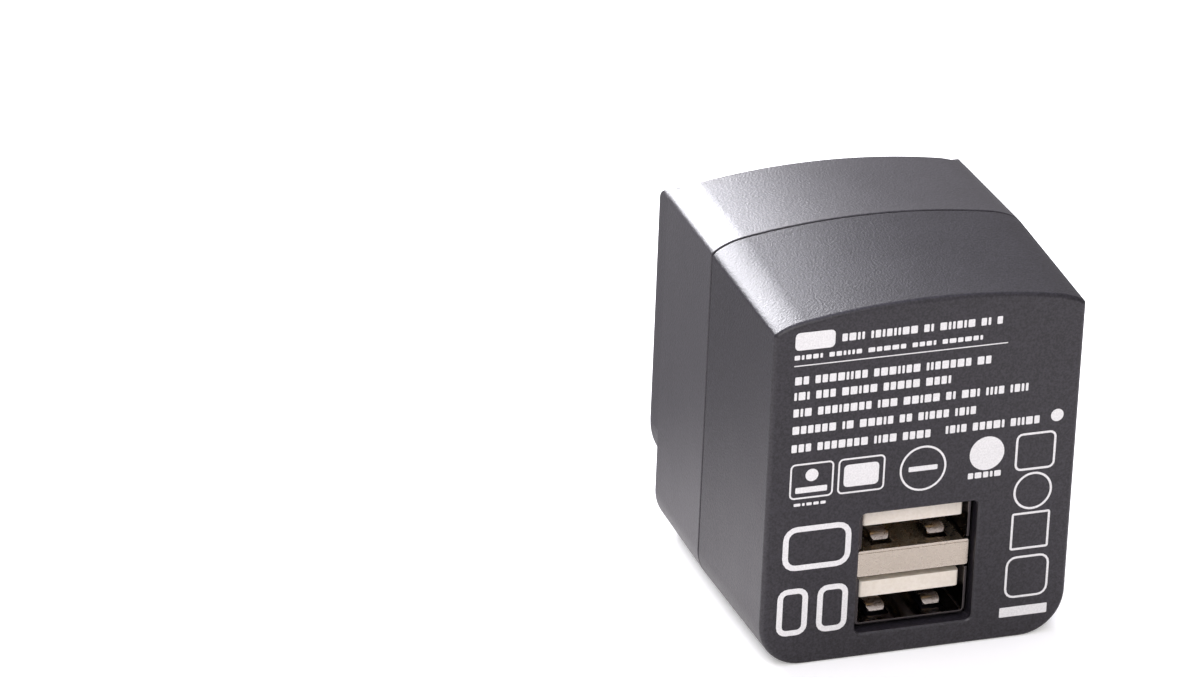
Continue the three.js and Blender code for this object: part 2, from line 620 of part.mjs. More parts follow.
const usbStack = new THREE.Group();
usbStack.position.set(0, stackFrontY, 0);
charger.add(usbStack);
place(usbStack, 'usb_shield', usbShield(), nickel);
place(usbStack, 'usb_divider', usbDivider(), nickel);
const ports = [
  { label: 'upper', ceiling: stackTop - sheet, low: bandTop },
  { label: 'lower', ceiling: bandBottom, low: stackBottom + sheet },
];
for (const { label, ceiling, low } of ports) {
  place(usbStack, `usb_tongue_${label}`, usbTongue(ceiling, low), tongueWhite);
  pinXs.forEach((x, i) => place(usbStack, `usb_contact_${label}_${i + 1}`, usbContact(ceiling), goldPlate, [x, 0, 0]));
  place(usbStack, `usb_tab_${label}_left`, usbTab(low), nickel, [-tabX, 0, 0]);
  place(usbStack, `usb_tab_${label}_right`, usbTab(low), nickel, [tabX, 0, 0]);
}

place(charger, 'main_board', mainBoard(), boardGreen);
const boardSides = { front: new THREE.Group(), rear: new THREE.Group() };
boardSides.front.position.set(0, boardY, 0);
boardSides.front.rotation.set(Math.PI / 2, 0, 0);
boardSides.rear.position.set(0, boardY + boardThick, 0);
boardSides.rear.rotation.set(-Math.PI / 2, 0, Math.PI);
charger.add(boardSides.front, boardSides.rear);
for (const { name, side, x, z, leads, finish: material, make } of components) {
  place(boardSides[side], name, make(leads), material, [side === 'rear' ? -x : x, z, 0]);
}

const transformer = new THREE.Group();
transformer.position.set(transformerPlace.x, transformerPlace.z, 0);
boardSides.front.add(transformer);
place(transformer, 'transformer_core_left', coreHalf(-1), ferrite);
place(transformer, 'transformer_core_right', coreHalf(1), ferrite);
place(transformer, 'transformer_bobbin', transformerBobbin(), bobbinBlack);
place(transformer, 'transformer_winding', transformerWinding(), copper);
place(transformer, 'transformer_tape', transformerTape(), tapeYellow);

export default charger;
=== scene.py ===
import math
import random
import bmesh
import bpy
from mathutils import Matrix, Vector


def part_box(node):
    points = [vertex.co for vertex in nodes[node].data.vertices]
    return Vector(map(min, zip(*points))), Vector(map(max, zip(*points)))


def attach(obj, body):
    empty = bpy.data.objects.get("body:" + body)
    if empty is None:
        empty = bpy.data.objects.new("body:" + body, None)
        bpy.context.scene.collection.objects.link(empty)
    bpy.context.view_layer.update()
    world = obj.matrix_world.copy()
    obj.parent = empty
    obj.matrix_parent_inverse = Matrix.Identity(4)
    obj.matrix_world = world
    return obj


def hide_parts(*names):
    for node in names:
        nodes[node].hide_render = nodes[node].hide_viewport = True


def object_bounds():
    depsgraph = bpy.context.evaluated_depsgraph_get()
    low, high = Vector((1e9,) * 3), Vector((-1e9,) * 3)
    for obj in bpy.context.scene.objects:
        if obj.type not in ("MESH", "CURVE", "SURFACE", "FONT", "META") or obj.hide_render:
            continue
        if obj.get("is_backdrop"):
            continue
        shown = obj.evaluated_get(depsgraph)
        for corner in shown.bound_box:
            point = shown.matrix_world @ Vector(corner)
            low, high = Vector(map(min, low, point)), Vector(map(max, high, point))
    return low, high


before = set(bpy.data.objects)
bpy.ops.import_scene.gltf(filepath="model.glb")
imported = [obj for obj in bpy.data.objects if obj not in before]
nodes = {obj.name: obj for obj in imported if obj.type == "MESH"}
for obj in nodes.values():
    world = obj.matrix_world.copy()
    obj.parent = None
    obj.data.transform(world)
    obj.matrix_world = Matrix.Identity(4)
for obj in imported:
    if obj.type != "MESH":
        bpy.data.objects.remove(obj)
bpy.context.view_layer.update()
mm = 0.001
print("frame loaded:", len(nodes), "pieces")


# ---- outlines, in millimetres ----

def arc(cx, cy, radius, start, end, steps):
    # points of an arc, angles in degrees
    points = []
    for i in range(steps + 1):
        angle = math.radians(start + (end - start) * i / steps)
        points.append((cx + radius * math.cos(angle), cy + radius * math.sin(angle)))
    return points


def roundRect(x0, x1, y0, y1, radius, steps=6):
    left, right, low, high = x0 + radius, x1 - radius, y0 + radius, y1 - radius
    return (arc(right, low, radius, -90, 0, steps) + arc(right, high, radius, 0, 90, steps)
            + arc(left, high, radius, 90, 180, steps) + arc(left, low, radius, 180, 270, steps))


archShape = dict(radius=88.0, shoulderSteps=18, shoulderCrowding=0.8, topSteps=10, cornerSteps=14)


def housingOutline(half, bottom, crown, corner, drop, reach):
    # round lower corners, upright sides and shoulders that fall off an arched top
    a = archShape

    def arch(x):
        return crown - a["radius"] + math.sqrt(a["radius"] ** 2 - x ** 2)
    start = half - reach
    shoulder = []
    for i in range(a["shoulderSteps"] + 1):
        angle = math.radians(90 * (i / a["shoulderSteps"]) ** a["shoulderCrowding"])
        x = start + reach * math.cos(angle)
        shoulder.append((x, arch(x) - drop * (1 - math.sin(angle))))
    across = [start - start * (i + 1) / a["topSteps"] for i in range(2 * a["topSteps"] - 1)]
    return (arc(-half + corner, bottom + corner, corner, 180, 270, a["cornerSteps"])
            + arc(half - corner, bottom + corner, corner, -90, 0, a["cornerSteps"])
            + shoulder + [(x, arch(x)) for x in across] + [(-x, z) for x, z in shoulder[::-1]])


# ---- meshes, built in millimetres and scaled once ----

def joinLoops(bm, loops):
    # quads between each loop of vertices and the next
    count = len(loops[0])
    for a, b in zip(loops, loops[1:]):
        for i in range(count):
            j = (i + 1) % count
            bm.faces.new((a[i], a[j], b[j], b[i]))


def loft(rings):
    # joins rings of equal length into a closed body
    bm = bmesh.new()
    loops = [[bm.verts.new(p) for p in ring] for ring in rings]
    joinLoops(bm, loops)
    bm.faces.new(loops[0][::-1])
    bm.faces.new(loops[-1])
    bmesh.ops.recalc_face_normals(bm, faces=bm.faces)
    return bm


def prism(outline, axis, low, high):
    # an outline pushed along an axis: "x" takes (y, z) points, "y" takes (x, z), "z" takes (x, y)
    def at(p, depth):
        return {"x": (depth, p[0], p[1]), "y": (p[0], depth, p[1]), "z": (p[0], p[1], depth)}[axis]
    return loft([[at(p, low) for p in outline], [at(p, high) for p in outline]])


def block(x0, x1, y0, y1, z0, z1):
    return prism([(x0, z0), (x1, z0), (x1, z1), (x0, z1)], "y", y0, y1)


def asObject(name, bm):
    mesh = bpy.data.meshes.new(name)
    bm.to_mesh(mesh)
    bm.free()
    obj = bpy.data.objects.new(name, mesh)
    bpy.context.scene.collection.objects.link(obj)
    return obj


def bakeModifiers(obj):
    graph = bpy.context.evaluated_depsgraph_get()
    baked = bpy.data.meshes.new_from_object(obj.evaluated_get(graph))
    old = obj.data
    obj.modifiers.clear()
    obj.data = baked
    bpy.data.meshes.remove(old)


def combine(obj, bm, operation):
    # DIFFERENCE, UNION or INTERSECT with a second body, which is used up
    tool = asObject("tool", bm)
    modifier = obj.modifiers.new(operation, "BOOLEAN")
    modifier.operation = operation
    modifier.solver = "EXACT"
    modifier.object = tool
    bakeModifiers(obj)
    mesh = tool.data
    bpy.data.objects.remove(tool)
    bpy.data.meshes.remove(mesh)


def carve(obj, *cutters):
    for bm in cutters:
        combine(obj, bm, "DIFFERENCE")


def settleNormals(mesh, smoothAngle):
    # large flat faces keep their own normal, and the small faces of an edge blend between them
    limit = math.cos(math.radians(smoothAngle))
    smallShare = 0.25  # faces under this share of the largest don't count
    around = [[] for _ in mesh.vertices]
    for face in mesh.polygons:
        face.use_smooth = True
        for vertex in face.vertices:
            around[vertex].append(face.index)
    facing = [face.normal.copy() for face in mesh.polygons]
    areas = [face.area for face in mesh.polygons]
    corners = []
    for face in mesh.polygons:
        for vertex in face.vertices:
            near = [i for i in around[vertex] if facing[i].dot(facing[face.index]) >= limit]
            largest = max(areas[i] for i in near)
            total = sum((facing[i] for i in near if areas[i] >= smallShare * largest), Vector())
            corners.append(total.normalized())
    mesh.normals_split_custom_set(corners)


def weighBevels(bm, angle, keepSharp):
    weights = bm.edges.layers.float.new("bevel_weight_edge")
    for edge in bm.edges:
        corner = edge.is_manifold and edge.calc_face_angle(0.0) > math.radians(angle)
        edge[weights] = 1.0 if corner and not keepSharp(edge) else 0.0


cleaning = dict(weld=0.002, flatAngle=0.4, bevelSegments=2)


def finishPiece(obj, material, body, replaces=(), edge=0.0, smoothAngle=35, keepSharp=None):
    # scales to metres, rounds the sharp edges, smooths, and hands the piece to its body
    bm = bmesh.new()
    bm.from_mesh(obj.data)
    bmesh.ops.remove_doubles(bm, verts=bm.verts, dist=cleaning["weld"])
    bmesh.ops.dissolve_degenerate(bm, edges=bm.edges, dist=cleaning["weld"])
    bmesh.ops.dissolve_limit(bm, angle_limit=math.radians(cleaning["flatAngle"]), verts=bm.verts, edges=bm.edges)
    if keepSharp:
        weighBevels(bm, smoothAngle, keepSharp)
    bm.to_mesh(obj.data)
    bm.free()
    obj.data.transform(Matrix.Scale(mm, 4))
    if edge:
        bevel = obj.modifiers.new("edges", "BEVEL")
        bevel.width = edge * mm
        bevel.segments = cleaning["bevelSegments"]
        bevel.limit_method = "WEIGHT" if keepSharp else "ANGLE"
        bevel.angle_limit = math.radians(smoothAngle)
        bevel.miter_outer = "MITER_ARC"
        bakeModifiers(obj)
    settleNormals(obj.data, smoothAngle)
    obj.data.materials.clear()
    obj.data.materials.append(material)
    if replaces:
        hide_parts(*replaces)
    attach(obj, body)


# ---- shader building ----

def feed(tree, node, inputs):
    # sets each input, or links it when it is given as another node's output
    for key, value in inputs.items():
        if isinstance(value, bpy.types.NodeSocket):
            tree.links.new(value, node.inputs[key])
        else:
            node.inputs[key].default_value = value


def addNode(tree, kind, x, y, inputs=None, **settings):
    node = tree.nodes.new("ShaderNode" + kind)
    node.location = (x, y)
    for key, value in settings.items():
        setattr(node, key, value)
    feed(tree, node, inputs or {})
    return node


def addMath(tree, operation, x, y, *operands, clamp=False):
    node = addNode(tree, "Math", x, y, dict(enumerate(operands)), operation=operation, use_clamp=clamp)
    return node.outputs[0]


def addVectorMath(tree, operation, x, y, first, second):
    node = addNode(tree, "VectorMath", x, y, {0: first, 1: second}, operation=operation)
    return node.outputs["Value" if operation == "DOT_PRODUCT" else "Vector"]


def addRange(tree, x, y, value, low, high):
    # 0 at low, 1 at high
    return addNode(tree, "MapRange", x, y, {"Value": value, "From Min": low, "From Max": high}).outputs[0]


def mixColors(tree, x, y, factor, first, second):
    return addNode(tree, "Mix", x, y, {"Factor": factor, 6: first, 7: second}, data_type="RGBA").outputs[2]


def mixValues(tree, x, y, factor, first, second):
    return addNode(tree, "Mix", x, y, {"Factor": factor, 2: first, 3: second}).outputs[0]


def objectPlace(tree, x, y):
    return addNode(tree, "TexCoord", x, y).outputs["Object"]


def addNoise(tree, x, y, place, scale, detail, roughness):
    return addNode(tree, "TexNoise", x, y, {
        "Vector": place, "Scale": scale, "Detail": detail, "Roughness": roughness}).outputs["Fac"]


def newGroup(name, inputs, outputs):
    # inputs by label: a number, a vector of three or a colour of four
    tree = bpy.data.node_groups.new(name, "ShaderNodeTree")
    for label, default in inputs.items():
        size = len(default) if isinstance(default, tuple) else 1
        kind = {1: "NodeSocketFloat", 3: "NodeSocketVector", 4: "NodeSocketColor"}[size]
        tree.interface.new_socket(label, in_out="INPUT", socket_type=kind).default_value = default
    for label in outputs:
        kind = "NodeSocketColor" if label == "Color" else "NodeSocketFloat"
        tree.interface.new_socket(label, in_out="OUTPUT", socket_type=kind)
    start, end = tree.nodes.new("NodeGroupInput"), tree.nodes.new("NodeGroupOutput")
    start.location, end.location = (-1100, 0), (700, 0)
    return tree, start.outputs, end


grainShape = dict(speckleLow=0.36, speckleHigh=0.64, speckleShare=0.7, driftShare=0.2, pitHeight=0.5)


def buildGrain():
    # moulded grain: fine spark texture over slow colour drift
    tree, given, end = newGroup("mouldedGrain", {
        "Color": (0.1, 0.1, 0.1, 1), "Light Color": (0.2, 0.2, 0.2, 1), "Roughness": 0.5,
        "Roughness Spread": 0.08, "Grain Scale": 4000.0, "Drift Scale": 120.0}, ("Color", "Roughness", "Height"))
    place = objectPlace(tree, -900, -300)
    fine = addNoise(tree, -620, 120, place, given["Grain Scale"], 3.0, 0.6)
    slow = addNoise(tree, -620, -220, place, given["Drift Scale"], 4.0, 0.55)
    pits = addNode(tree, "TexVoronoi", -620, -520, {"Vector": place, "Scale": given["Grain Scale"]})
    speckle = addRange(tree, -500, 260, fine, grainShape["speckleLow"], grainShape["speckleHigh"])
    drift = addMath(tree, "MULTIPLY", -380, -60, slow, grainShape["driftShare"])
    blend = addMath(tree, "MULTIPLY_ADD", -320, 120, speckle, grainShape["speckleShare"], drift)
    centred = addMath(tree, "SUBTRACT", -380, -240, slow, 0.5)
    feed(tree, end, {
        "Color": mixColors(tree, -120, 200, blend, given["Color"], given["Light Color"]),
        "Roughness": addMath(tree, "MULTIPLY_ADD", -120, -120, centred, given["Roughness Spread"],
                             given["Roughness"]),
        "Height": addMath(tree, "MULTIPLY_ADD", -120, -360, pits.outputs["Distance"], grainShape["pitHeight"],
                          fine)})
    return tree


edgeShape = dict(radius=0.35, flat=0.995, turned=0.93)  # the last two: how alike the two normals are


def buildEdgeWear():
    # lightens and polishes the corners that hands touch
    tree, given, end = newGroup("edgeWear", {
        "Color": (0.1, 0.1, 0.1, 1), "Worn Color": (0.3, 0.3, 0.3, 1), "Roughness": 0.5, "Worn Roughness": 0.35,
        "Amount": 0.5, "Breakup Scale": 500.0}, ("Color", "Roughness", "Mask"))
    rounded = addNode(tree, "Bevel", -900, -200, {"Radius": edgeShape["radius"] * mm}, samples=6)
    geometry = addNode(tree, "NewGeometry", -900, -360)
    noise = addNoise(tree, -640, -500, objectPlace(tree, -900, -560), given["Breakup Scale"], 5.0, 0.65)
    alike = addVectorMath(tree, "DOT_PRODUCT", -700, -240, rounded.outputs["Normal"], geometry.outputs["Normal"])
    corner = addRange(tree, -560, -220, alike, edgeShape["flat"], edgeShape["turned"])
    broken = addMath(tree, "MULTIPLY", -400, -260, corner, noise)
    mask = addMath(tree, "MULTIPLY", -200, -200, broken, given["Amount"], clamp=True)
    feed(tree, end, {
        "Color": mixColors(tree, 60, 160, mask, given["Color"], given["Worn Color"]),
        "Roughness": mixValues(tree, 60, -160, mask, given["Roughness"], given["Worn Roughness"]),
        "Mask": mask})
    return tree


def buildFacingMask():
    # masks the faces that look along a direction, such as the sheared edges of a sheet and faces painted into
    # shade
    tree, given, end = newGroup("facingMask", {"Direction": (0.0, -1.0, 0.0), "Sharpness": 0.8}, ("Mask",))
    normal = addNode(tree, "NewGeometry", -700, 100).outputs["True Normal"]
    facing = addVectorMath(tree, "DOT_PRODUCT", -450, 60, normal, given["Direction"])
    feed(tree, end, {"Mask": addRange(tree, -200, 60, facing, given["Sharpness"], 1.0)})
    return tree


stainShape = dict(scale=420.0, low=0.45, high=0.8, roughnessSpread=0.35)


def buildRolledMetal():
    # drawn lines and faint tarnish on plated strip
    tree, given, end = newGroup("rolledMetal", {
        "Color": (0.7, 0.7, 0.7, 1), "Tarnish Color": (0.5, 0.45, 0.4, 1), "Roughness": 0.3,
        "Line Scale": 3000.0, "Stretch": (0.05, 1.0, 1.0), "Tarnish": 0.5}, ("Color", "Roughness", "Height"))
    place = objectPlace(tree, -900, -300)
    stretched = addVectorMath(tree, "MULTIPLY", -700, -200, place, given["Stretch"])
    lines = addNoise(tree, -480, -100, stretched, given["Line Scale"], 4.0, 0.6)
    stain = addNoise(tree, -480, -400, place, stainShape["scale"], 5.0, 0.6)
    spots = addRange(tree, -260, -400, stain, stainShape["low"], stainShape["high"])
    mask = addMath(tree, "MULTIPLY", -60, -380, spots, given["Tarnish"], clamp=True)
    centred = addMath(tree, "SUBTRACT", -260, -60, lines, 0.5)
    feed(tree, end, {
        "Color": mixColors(tree, 160, 160, mask, given["Color"], given["Tarnish Color"]),
        "Roughness": addMath(tree, "MULTIPLY_ADD", -60, -60, centred, stainShape["roughnessSpread"],
                             given["Roughness"]),
        "Height": lines})
    return tree


def buildBodyMask():
    # 0 inside a box, 1 outside it: leads and pins that stand out of a moulded body
    softness = 0.02 * mm
    tree, given, end = newGroup("outsideBody", {"Low": (0.0, 0.0, 0.0), "High": (1.0, 1.0, 1.0)}, ("Mask",))
    place = objectPlace(tree, -900, 0)
    below = addVectorMath(tree, "SUBTRACT", -680, 120, given["Low"], place)
    above = addVectorMath(tree, "SUBTRACT", -680, -120, place, given["High"])
    outside = addVectorMath(tree, "MAXIMUM", -480, 0, below, above)
    x, y, z = addNode(tree, "SeparateXYZ", -300, 0, {0: outside}).outputs
    furthest = addMath(tree, "MAXIMUM", 60, 0, addMath(tree, "MAXIMUM", -120, 60, x, y), z)
    feed(tree, end, {"Mask": addRange(tree, 260, 0, furthest, 0.0, softness)})
    return tree


trackShape = dict(spacing=0.22, widthShare=0.4, randomness=0.7)


def buildTraces():
    # square-cornered tracks under a solder mask
    tree, given, end = newGroup("boardTraces", {
        "Mask Color": (0.01, 0.1, 0.04, 1), "Track Color": (0.03, 0.2, 0.08, 1), "Track Scale": 300.0,
        "Width": 0.25}, ("Color", "Height"))
    cells = addNode(tree, "TexVoronoi", -650, 0, {
        "Vector": objectPlace(tree, -900, 0), "Scale": given["Track Scale"],
        "Randomness": trackShape["randomness"]}, distance="MANHATTAN", feature="F1")
    wave = addMath(tree, "PINGPONG", -420, 0, cells.outputs["Distance"], trackShape["spacing"])
    width = addMath(tree, "MULTIPLY", -420, -200, given["Width"], trackShape["widthShare"])
    track = addMath(tree, "LESS_THAN", -220, 0, wave, width)
    feed(tree, end, {
        "Color": mixColors(tree, 60, 100, track, given["Mask Color"], given["Track Color"]), "Height": track})
    return tree


grainGroup = buildGrain()
edgeWearGroup = buildEdgeWear()
rolledGroup = buildRolledMetal()
facingGroup = buildFacingMask()
bodyMaskGroup = buildBodyMask()
tracesGroup = buildTraces()
print("shader groups built")


def rgba(color):
    return (*color, 1.0)


def newMaterial(name):
    material = bpy.data.materials.new(name)
    material.use_nodes = True
    return material, material.node_tree, material.node_tree.nodes["Principled BSDF"]


def placeGroup(tree, group, x, y, inputs):
    return addNode(tree, "Group", x, y, inputs, node_tree=group).outputs


def placeGrain(tree, x, y, look, color=None):
    return placeGroup(tree, grainGroup, x, y, {
        "Color": rgba(look["color"]) if color is None else color, "Light Color": rgba(look["light"]),
        "Roughness": look["roughness"], "Roughness Spread": look["spread"], "Grain Scale": look["grain"],
        "Drift Scale": look["drift"]})


def placeMetal(tree, x, y, look):
    return placeGroup(tree, rolledGroup, x, y, {
        "Color": rgba(look["color"]), "Tarnish Color": rgba(look["tarnish"]), "Roughness": look["roughness"],
        "Line Scale": look["lines"], "Stretch": look["stretch"], "Tarnish": look["amount"]})


def addWear(tree, shader, x, y, color, roughness, look, share=1.0):
    # wears the corners of a surface and hands it to the shader
    wear = placeGroup(tree, edgeWearGroup, x, y, {
        "Color": color, "Roughness": roughness, "Worn Color": rgba(look["worn"]),
        "Worn Roughness": look["wornRoughness"], "Amount": look["wear"] * share})
    feed(tree, shader, {"Base Color": wear["Color"], "Roughness": wear["Roughness"]})
    return wear["Color"]


def addBump(tree, shader, height, strength, depth):
    bump = addNode(tree, "Bump", -220, -260, {"Strength": strength, "Distance": depth * mm, "Height": height})
    feed(tree, shader, {"Normal": bump.outputs["Normal"]})


def mouldedPlastic(name, look):
    # grain, drift and worn corners on one plain shader
    material, tree, shader = newMaterial(name)
    grain = placeGrain(tree, -760, 100, look)
    addWear(tree, shader, -480, 100, grain["Color"], grain["Roughness"], look)
    addBump(tree, shader, grain["Height"], look["bump"], look["depth"])
    if "coat" in look:
        feed(tree, shader, {"Coat Weight": look["coat"], "Coat Roughness": look["coatRoughness"]})
    if "subsurface" in look:
        feed(tree, shader, {"Subsurface Weight": look["subsurface"],
                            "Subsurface Radius": tuple(r * mm for r in look["subsurfaceRadius"])})
    return material


metalWear = dict(wear=0.6, roughnessShare=0.7, depth=0.004)


def platedMetal(name, look):
    material, tree, shader = newMaterial(name)
    metal = placeMetal(tree, -760, 100, look)
    worn = {**look, **metalWear, "wornRoughness": look["roughness"] * metalWear["roughnessShare"]}
    surface = addWear(tree, shader, -480, 100, metal["Color"], metal["Roughness"], worn)
    if "cutEdgeAndShade" in look:  # faces that look to the front are darkened: sheared edges, which are dull, and painted shade on the other front-facing faces
        mask = placeGroup(tree, facingGroup, -480, -200, {})["Mask"]
        dullAndShaded = mixColors(tree, -220, 140, mask, surface, rgba(look["cutEdgeAndShade"]))
        feed(tree, shader, {"Base Color": dullAndShaded})
    feed(tree, shader, {"Metallic": 1.0})
    addBump(tree, shader, metal["Height"], look["bump"], metalWear["depth"])
    return material


def bodyWithLeads(name, look, metalLook, low, high):
    # a moulded body inside the box low..high, and tinned leads outside it
    wearShare = 0.6
    material, tree, shader = newMaterial(name)
    grain = placeGrain(tree, -900, 200, look)
    metal = placeMetal(tree, -900, -200, metalLook)
    mask = placeGroup(tree, bodyMaskGroup, -900, 500, {"Low": low, "High": high})["Mask"]
    color = mixColors(tree, -600, 200, mask, grain["Color"], metal["Color"])
    rough = mixValues(tree, -600, -50, mask, grain["Roughness"], metal["Roughness"])
    addWear(tree, shader, -350, 100, color, rough, look, wearShare)
    feed(tree, shader, {"Metallic": mask})
    addBump(tree, shader, grain["Height"], look["bump"], look["depth"])
    return material


def boardMaterial(name, look):
    material, tree, shader = newMaterial(name)
    traces = placeGroup(tree, tracesGroup, -900, 200, {
        "Mask Color": rgba(look["color"]), "Track Color": rgba(look["track"]), "Track Scale": look["trackScale"]})
    grain = placeGrain(tree, -650, 0, look, traces["Color"])
    addWear(tree, shader, -400, 100, grain["Color"], grain["Roughness"], look)
    addBump(tree, shader, traces["Height"], look["bump"], look["depth"])
    return material


usual = dict(spread=0.1, grain=1200.0, drift=300.0, wornRoughness=0.4, wear=0.5, bump=0.15, depth=0.01)
plastics = {  # each look adds to the usual one
    "housingPlastic": dict(
        color=(0.0045, 0.0038, 0.0057), light=(0.032, 0.0285, 0.0382), roughness=0.41, grain=4000.0, drift=140.0,
        worn=(0.075, 0.072, 0.08), wornRoughness=0.34, wear=0.6, bump=0.75, depth=0.034),
    # painted light: the rear shell's plastic is the front's made lighter where the rear shell caught more light,
    # and it has a coat
    "rearHousingPlasticPaintedLighter": dict(
        color=(0.011, 0.0096, 0.0132), light=(0.034, 0.03, 0.0395), roughness=0.42, grain=3600.0, drift=140.0,
        worn=(0.085, 0.081, 0.09), wornRoughness=0.36, wear=0.6, bump=0.75, depth=0.038, coat=0.3,
        coatRoughness=0.36),
    "tonguePlastic": dict(
        color=(0.79, 0.72, 0.63), light=(0.87, 0.81, 0.73), roughness=0.42, spread=0.08, grain=2600.0,
        drift=260.0, worn=(0.88, 0.87, 0.84), wornRoughness=0.36, wear=0.3, subsurface=0.12,
        subsurfaceRadius=(0.6, 0.5, 0.4)),
    "printInk": dict(
        color=(0.66, 0.655, 0.665), light=(0.84, 0.835, 0.845), roughness=0.62, grain=5200.0, drift=900.0,
        worn=(0.5, 0.5, 0.5), wornRoughness=0.6, wear=0.0, bump=0.2, depth=0.006),
    "wireRed": dict(
        color=(0.36, 0.02, 0.015), light=(0.48, 0.04, 0.03), roughness=0.48, grain=2200.0, worn=(0.55, 0.1, 0.08),
        wear=0.3),
    "wireBlack": dict(
        color=(0.012, 0.012, 0.013), light=(0.03, 0.03, 0.032), roughness=0.46, grain=2200.0,
        worn=(0.08, 0.08, 0.08), wear=0.3),
    "ferriteGrey": dict(
        color=(0.03, 0.03, 0.032), light=(0.07, 0.07, 0.072), roughness=0.62, spread=0.15, grain=3000.0,
        drift=500.0, worn=(0.16, 0.16, 0.16), wornRoughness=0.45, wear=0.7, bump=0.4, depth=0.02),
    "bobbinPhenolic": dict(
        color=(0.012, 0.011, 0.01), light=(0.03, 0.028, 0.026), roughness=0.4, grain=2500.0,
        worn=(0.09, 0.085, 0.08), wornRoughness=0.35, bump=0.2, depth=0.012),
    "tapeYellow": dict(
        color=(0.72, 0.46, 0.03), light=(0.84, 0.6, 0.08), roughness=0.26, spread=0.14, grain=900.0, drift=260.0,
        worn=(0.9, 0.72, 0.25), wornRoughness=0.2, wear=0.4, bump=0.25, depth=0.03),
    "sleeveBlack": dict(
        color=(0.01, 0.012, 0.02), light=(0.026, 0.03, 0.045), roughness=0.24, spread=0.12, drift=240.0,
        worn=(0.12, 0.12, 0.14), wornRoughness=0.3, depth=0.02),
    "sleeveGreen": dict(
        color=(0.01, 0.07, 0.045), light=(0.02, 0.11, 0.075), roughness=0.24, spread=0.12, drift=240.0,
        worn=(0.15, 0.25, 0.2), wornRoughness=0.3, depth=0.02),
    "epoxyBlack": dict(
        color=(0.012, 0.012, 0.013), light=(0.032, 0.032, 0.034), roughness=0.55, grain=3600.0, drift=400.0,
        worn=(0.12, 0.12, 0.12), bump=0.35, depth=0.015),
    "lacquerBlue": dict(
        color=(0.02, 0.08, 0.36), light=(0.04, 0.14, 0.48), roughness=0.22, grain=900.0, worn=(0.2, 0.3, 0.6),
        wornRoughness=0.25, wear=0.3, bump=0.2, depth=0.03),
    "resistorCoat": dict(
        color=(0.09, 0.2, 0.1), light=(0.16, 0.3, 0.17), roughness=0.6, spread=0.12, grain=1800.0, drift=400.0,
        worn=(0.35, 0.45, 0.35), wornRoughness=0.5, wear=0.4, bump=0.4, depth=0.03),
}
plastics = {name: {**usual, **look} for name, look in plastics.items()}
metals = {
    # painted shade: the shield's nickel is darkened to stand for the shade inside the ports, with random tarnish
    # spots on top
    "shieldNickelShaded": dict(
        color=(0.215, 0.195, 0.205), tarnish=(0.12, 0.106, 0.115), roughness=0.13, lines=1800.0,
        stretch=(1.0, 0.3, 1.0), amount=0.5, worn=(0.5, 0.47, 0.44), bump=0.05, cutEdgeAndShade=(0.06, 0.054, 0.056)),
    "bandNickel": dict(
        color=(0.66, 0.59, 0.5), tarnish=(0.56, 0.48, 0.39), roughness=0.3, lines=5200.0, stretch=(0.6, 1.0, 1.0),
        amount=0.25, worn=(0.9, 0.85, 0.78), bump=0.05),
    "tabNickel": dict(
        color=(0.56, 0.5, 0.475), tarnish=(0.42, 0.36, 0.34), roughness=0.3, lines=4200.0,
        stretch=(0.5, 1.0, 1.0), amount=0.4, worn=(0.86, 0.8, 0.75), bump=0.1),
    "springNickel": dict(
        color=(0.64, 0.62, 0.59), tarnish=(0.46, 0.43, 0.39), roughness=0.15, lines=3200.0,
        stretch=(1.0, 0.08, 0.08), amount=0.35, worn=(0.93, 0.92, 0.9), bump=0.1),
    "contactGold": dict(
        color=(0.86, 0.62, 0.28), tarnish=(0.6, 0.42, 0.2), roughness=0.22, lines=3000.0,
        stretch=(1.0, 0.08, 1.0), amount=0.3, worn=(0.95, 0.76, 0.42), bump=0.1),
    "baseNickel": dict(
        color=(0.62, 0.58, 0.5), tarnish=(0.42, 0.36, 0.28), roughness=0.34, lines=2400.0,
        stretch=(0.08, 1.0, 1.0), amount=0.6, worn=(0.85, 0.82, 0.76), bump=0.14),
    "windingCopper": dict(
        color=(0.6, 0.22, 0.08), tarnish=(0.4, 0.13, 0.05), roughness=0.26, lines=2800.0,
        stretch=(1.0, 0.05, 0.05), amount=0.5, worn=(0.75, 0.38, 0.18), bump=0.5),
}
board = dict(color=(0.008, 0.07, 0.03), track=(0.02, 0.15, 0.055), light=(0.03, 0.17, 0.07), roughness=0.3,
             spread=0.12, grain=1500.0, drift=700.0, worn=(0.3, 0.33, 0.2), wornRoughness=0.6, wear=1.0,
             trackScale=260.0, bump=0.5, depth=0.03)
materials = {name: mouldedPlastic(name, look) for name, look in plastics.items()}
materials["solderMask"] = boardMaterial("solderMask", board)
materials.update({name: platedMetal(name, look) for name, look in metals.items()})
print("materials:", len(materials))


# ---- housing ----

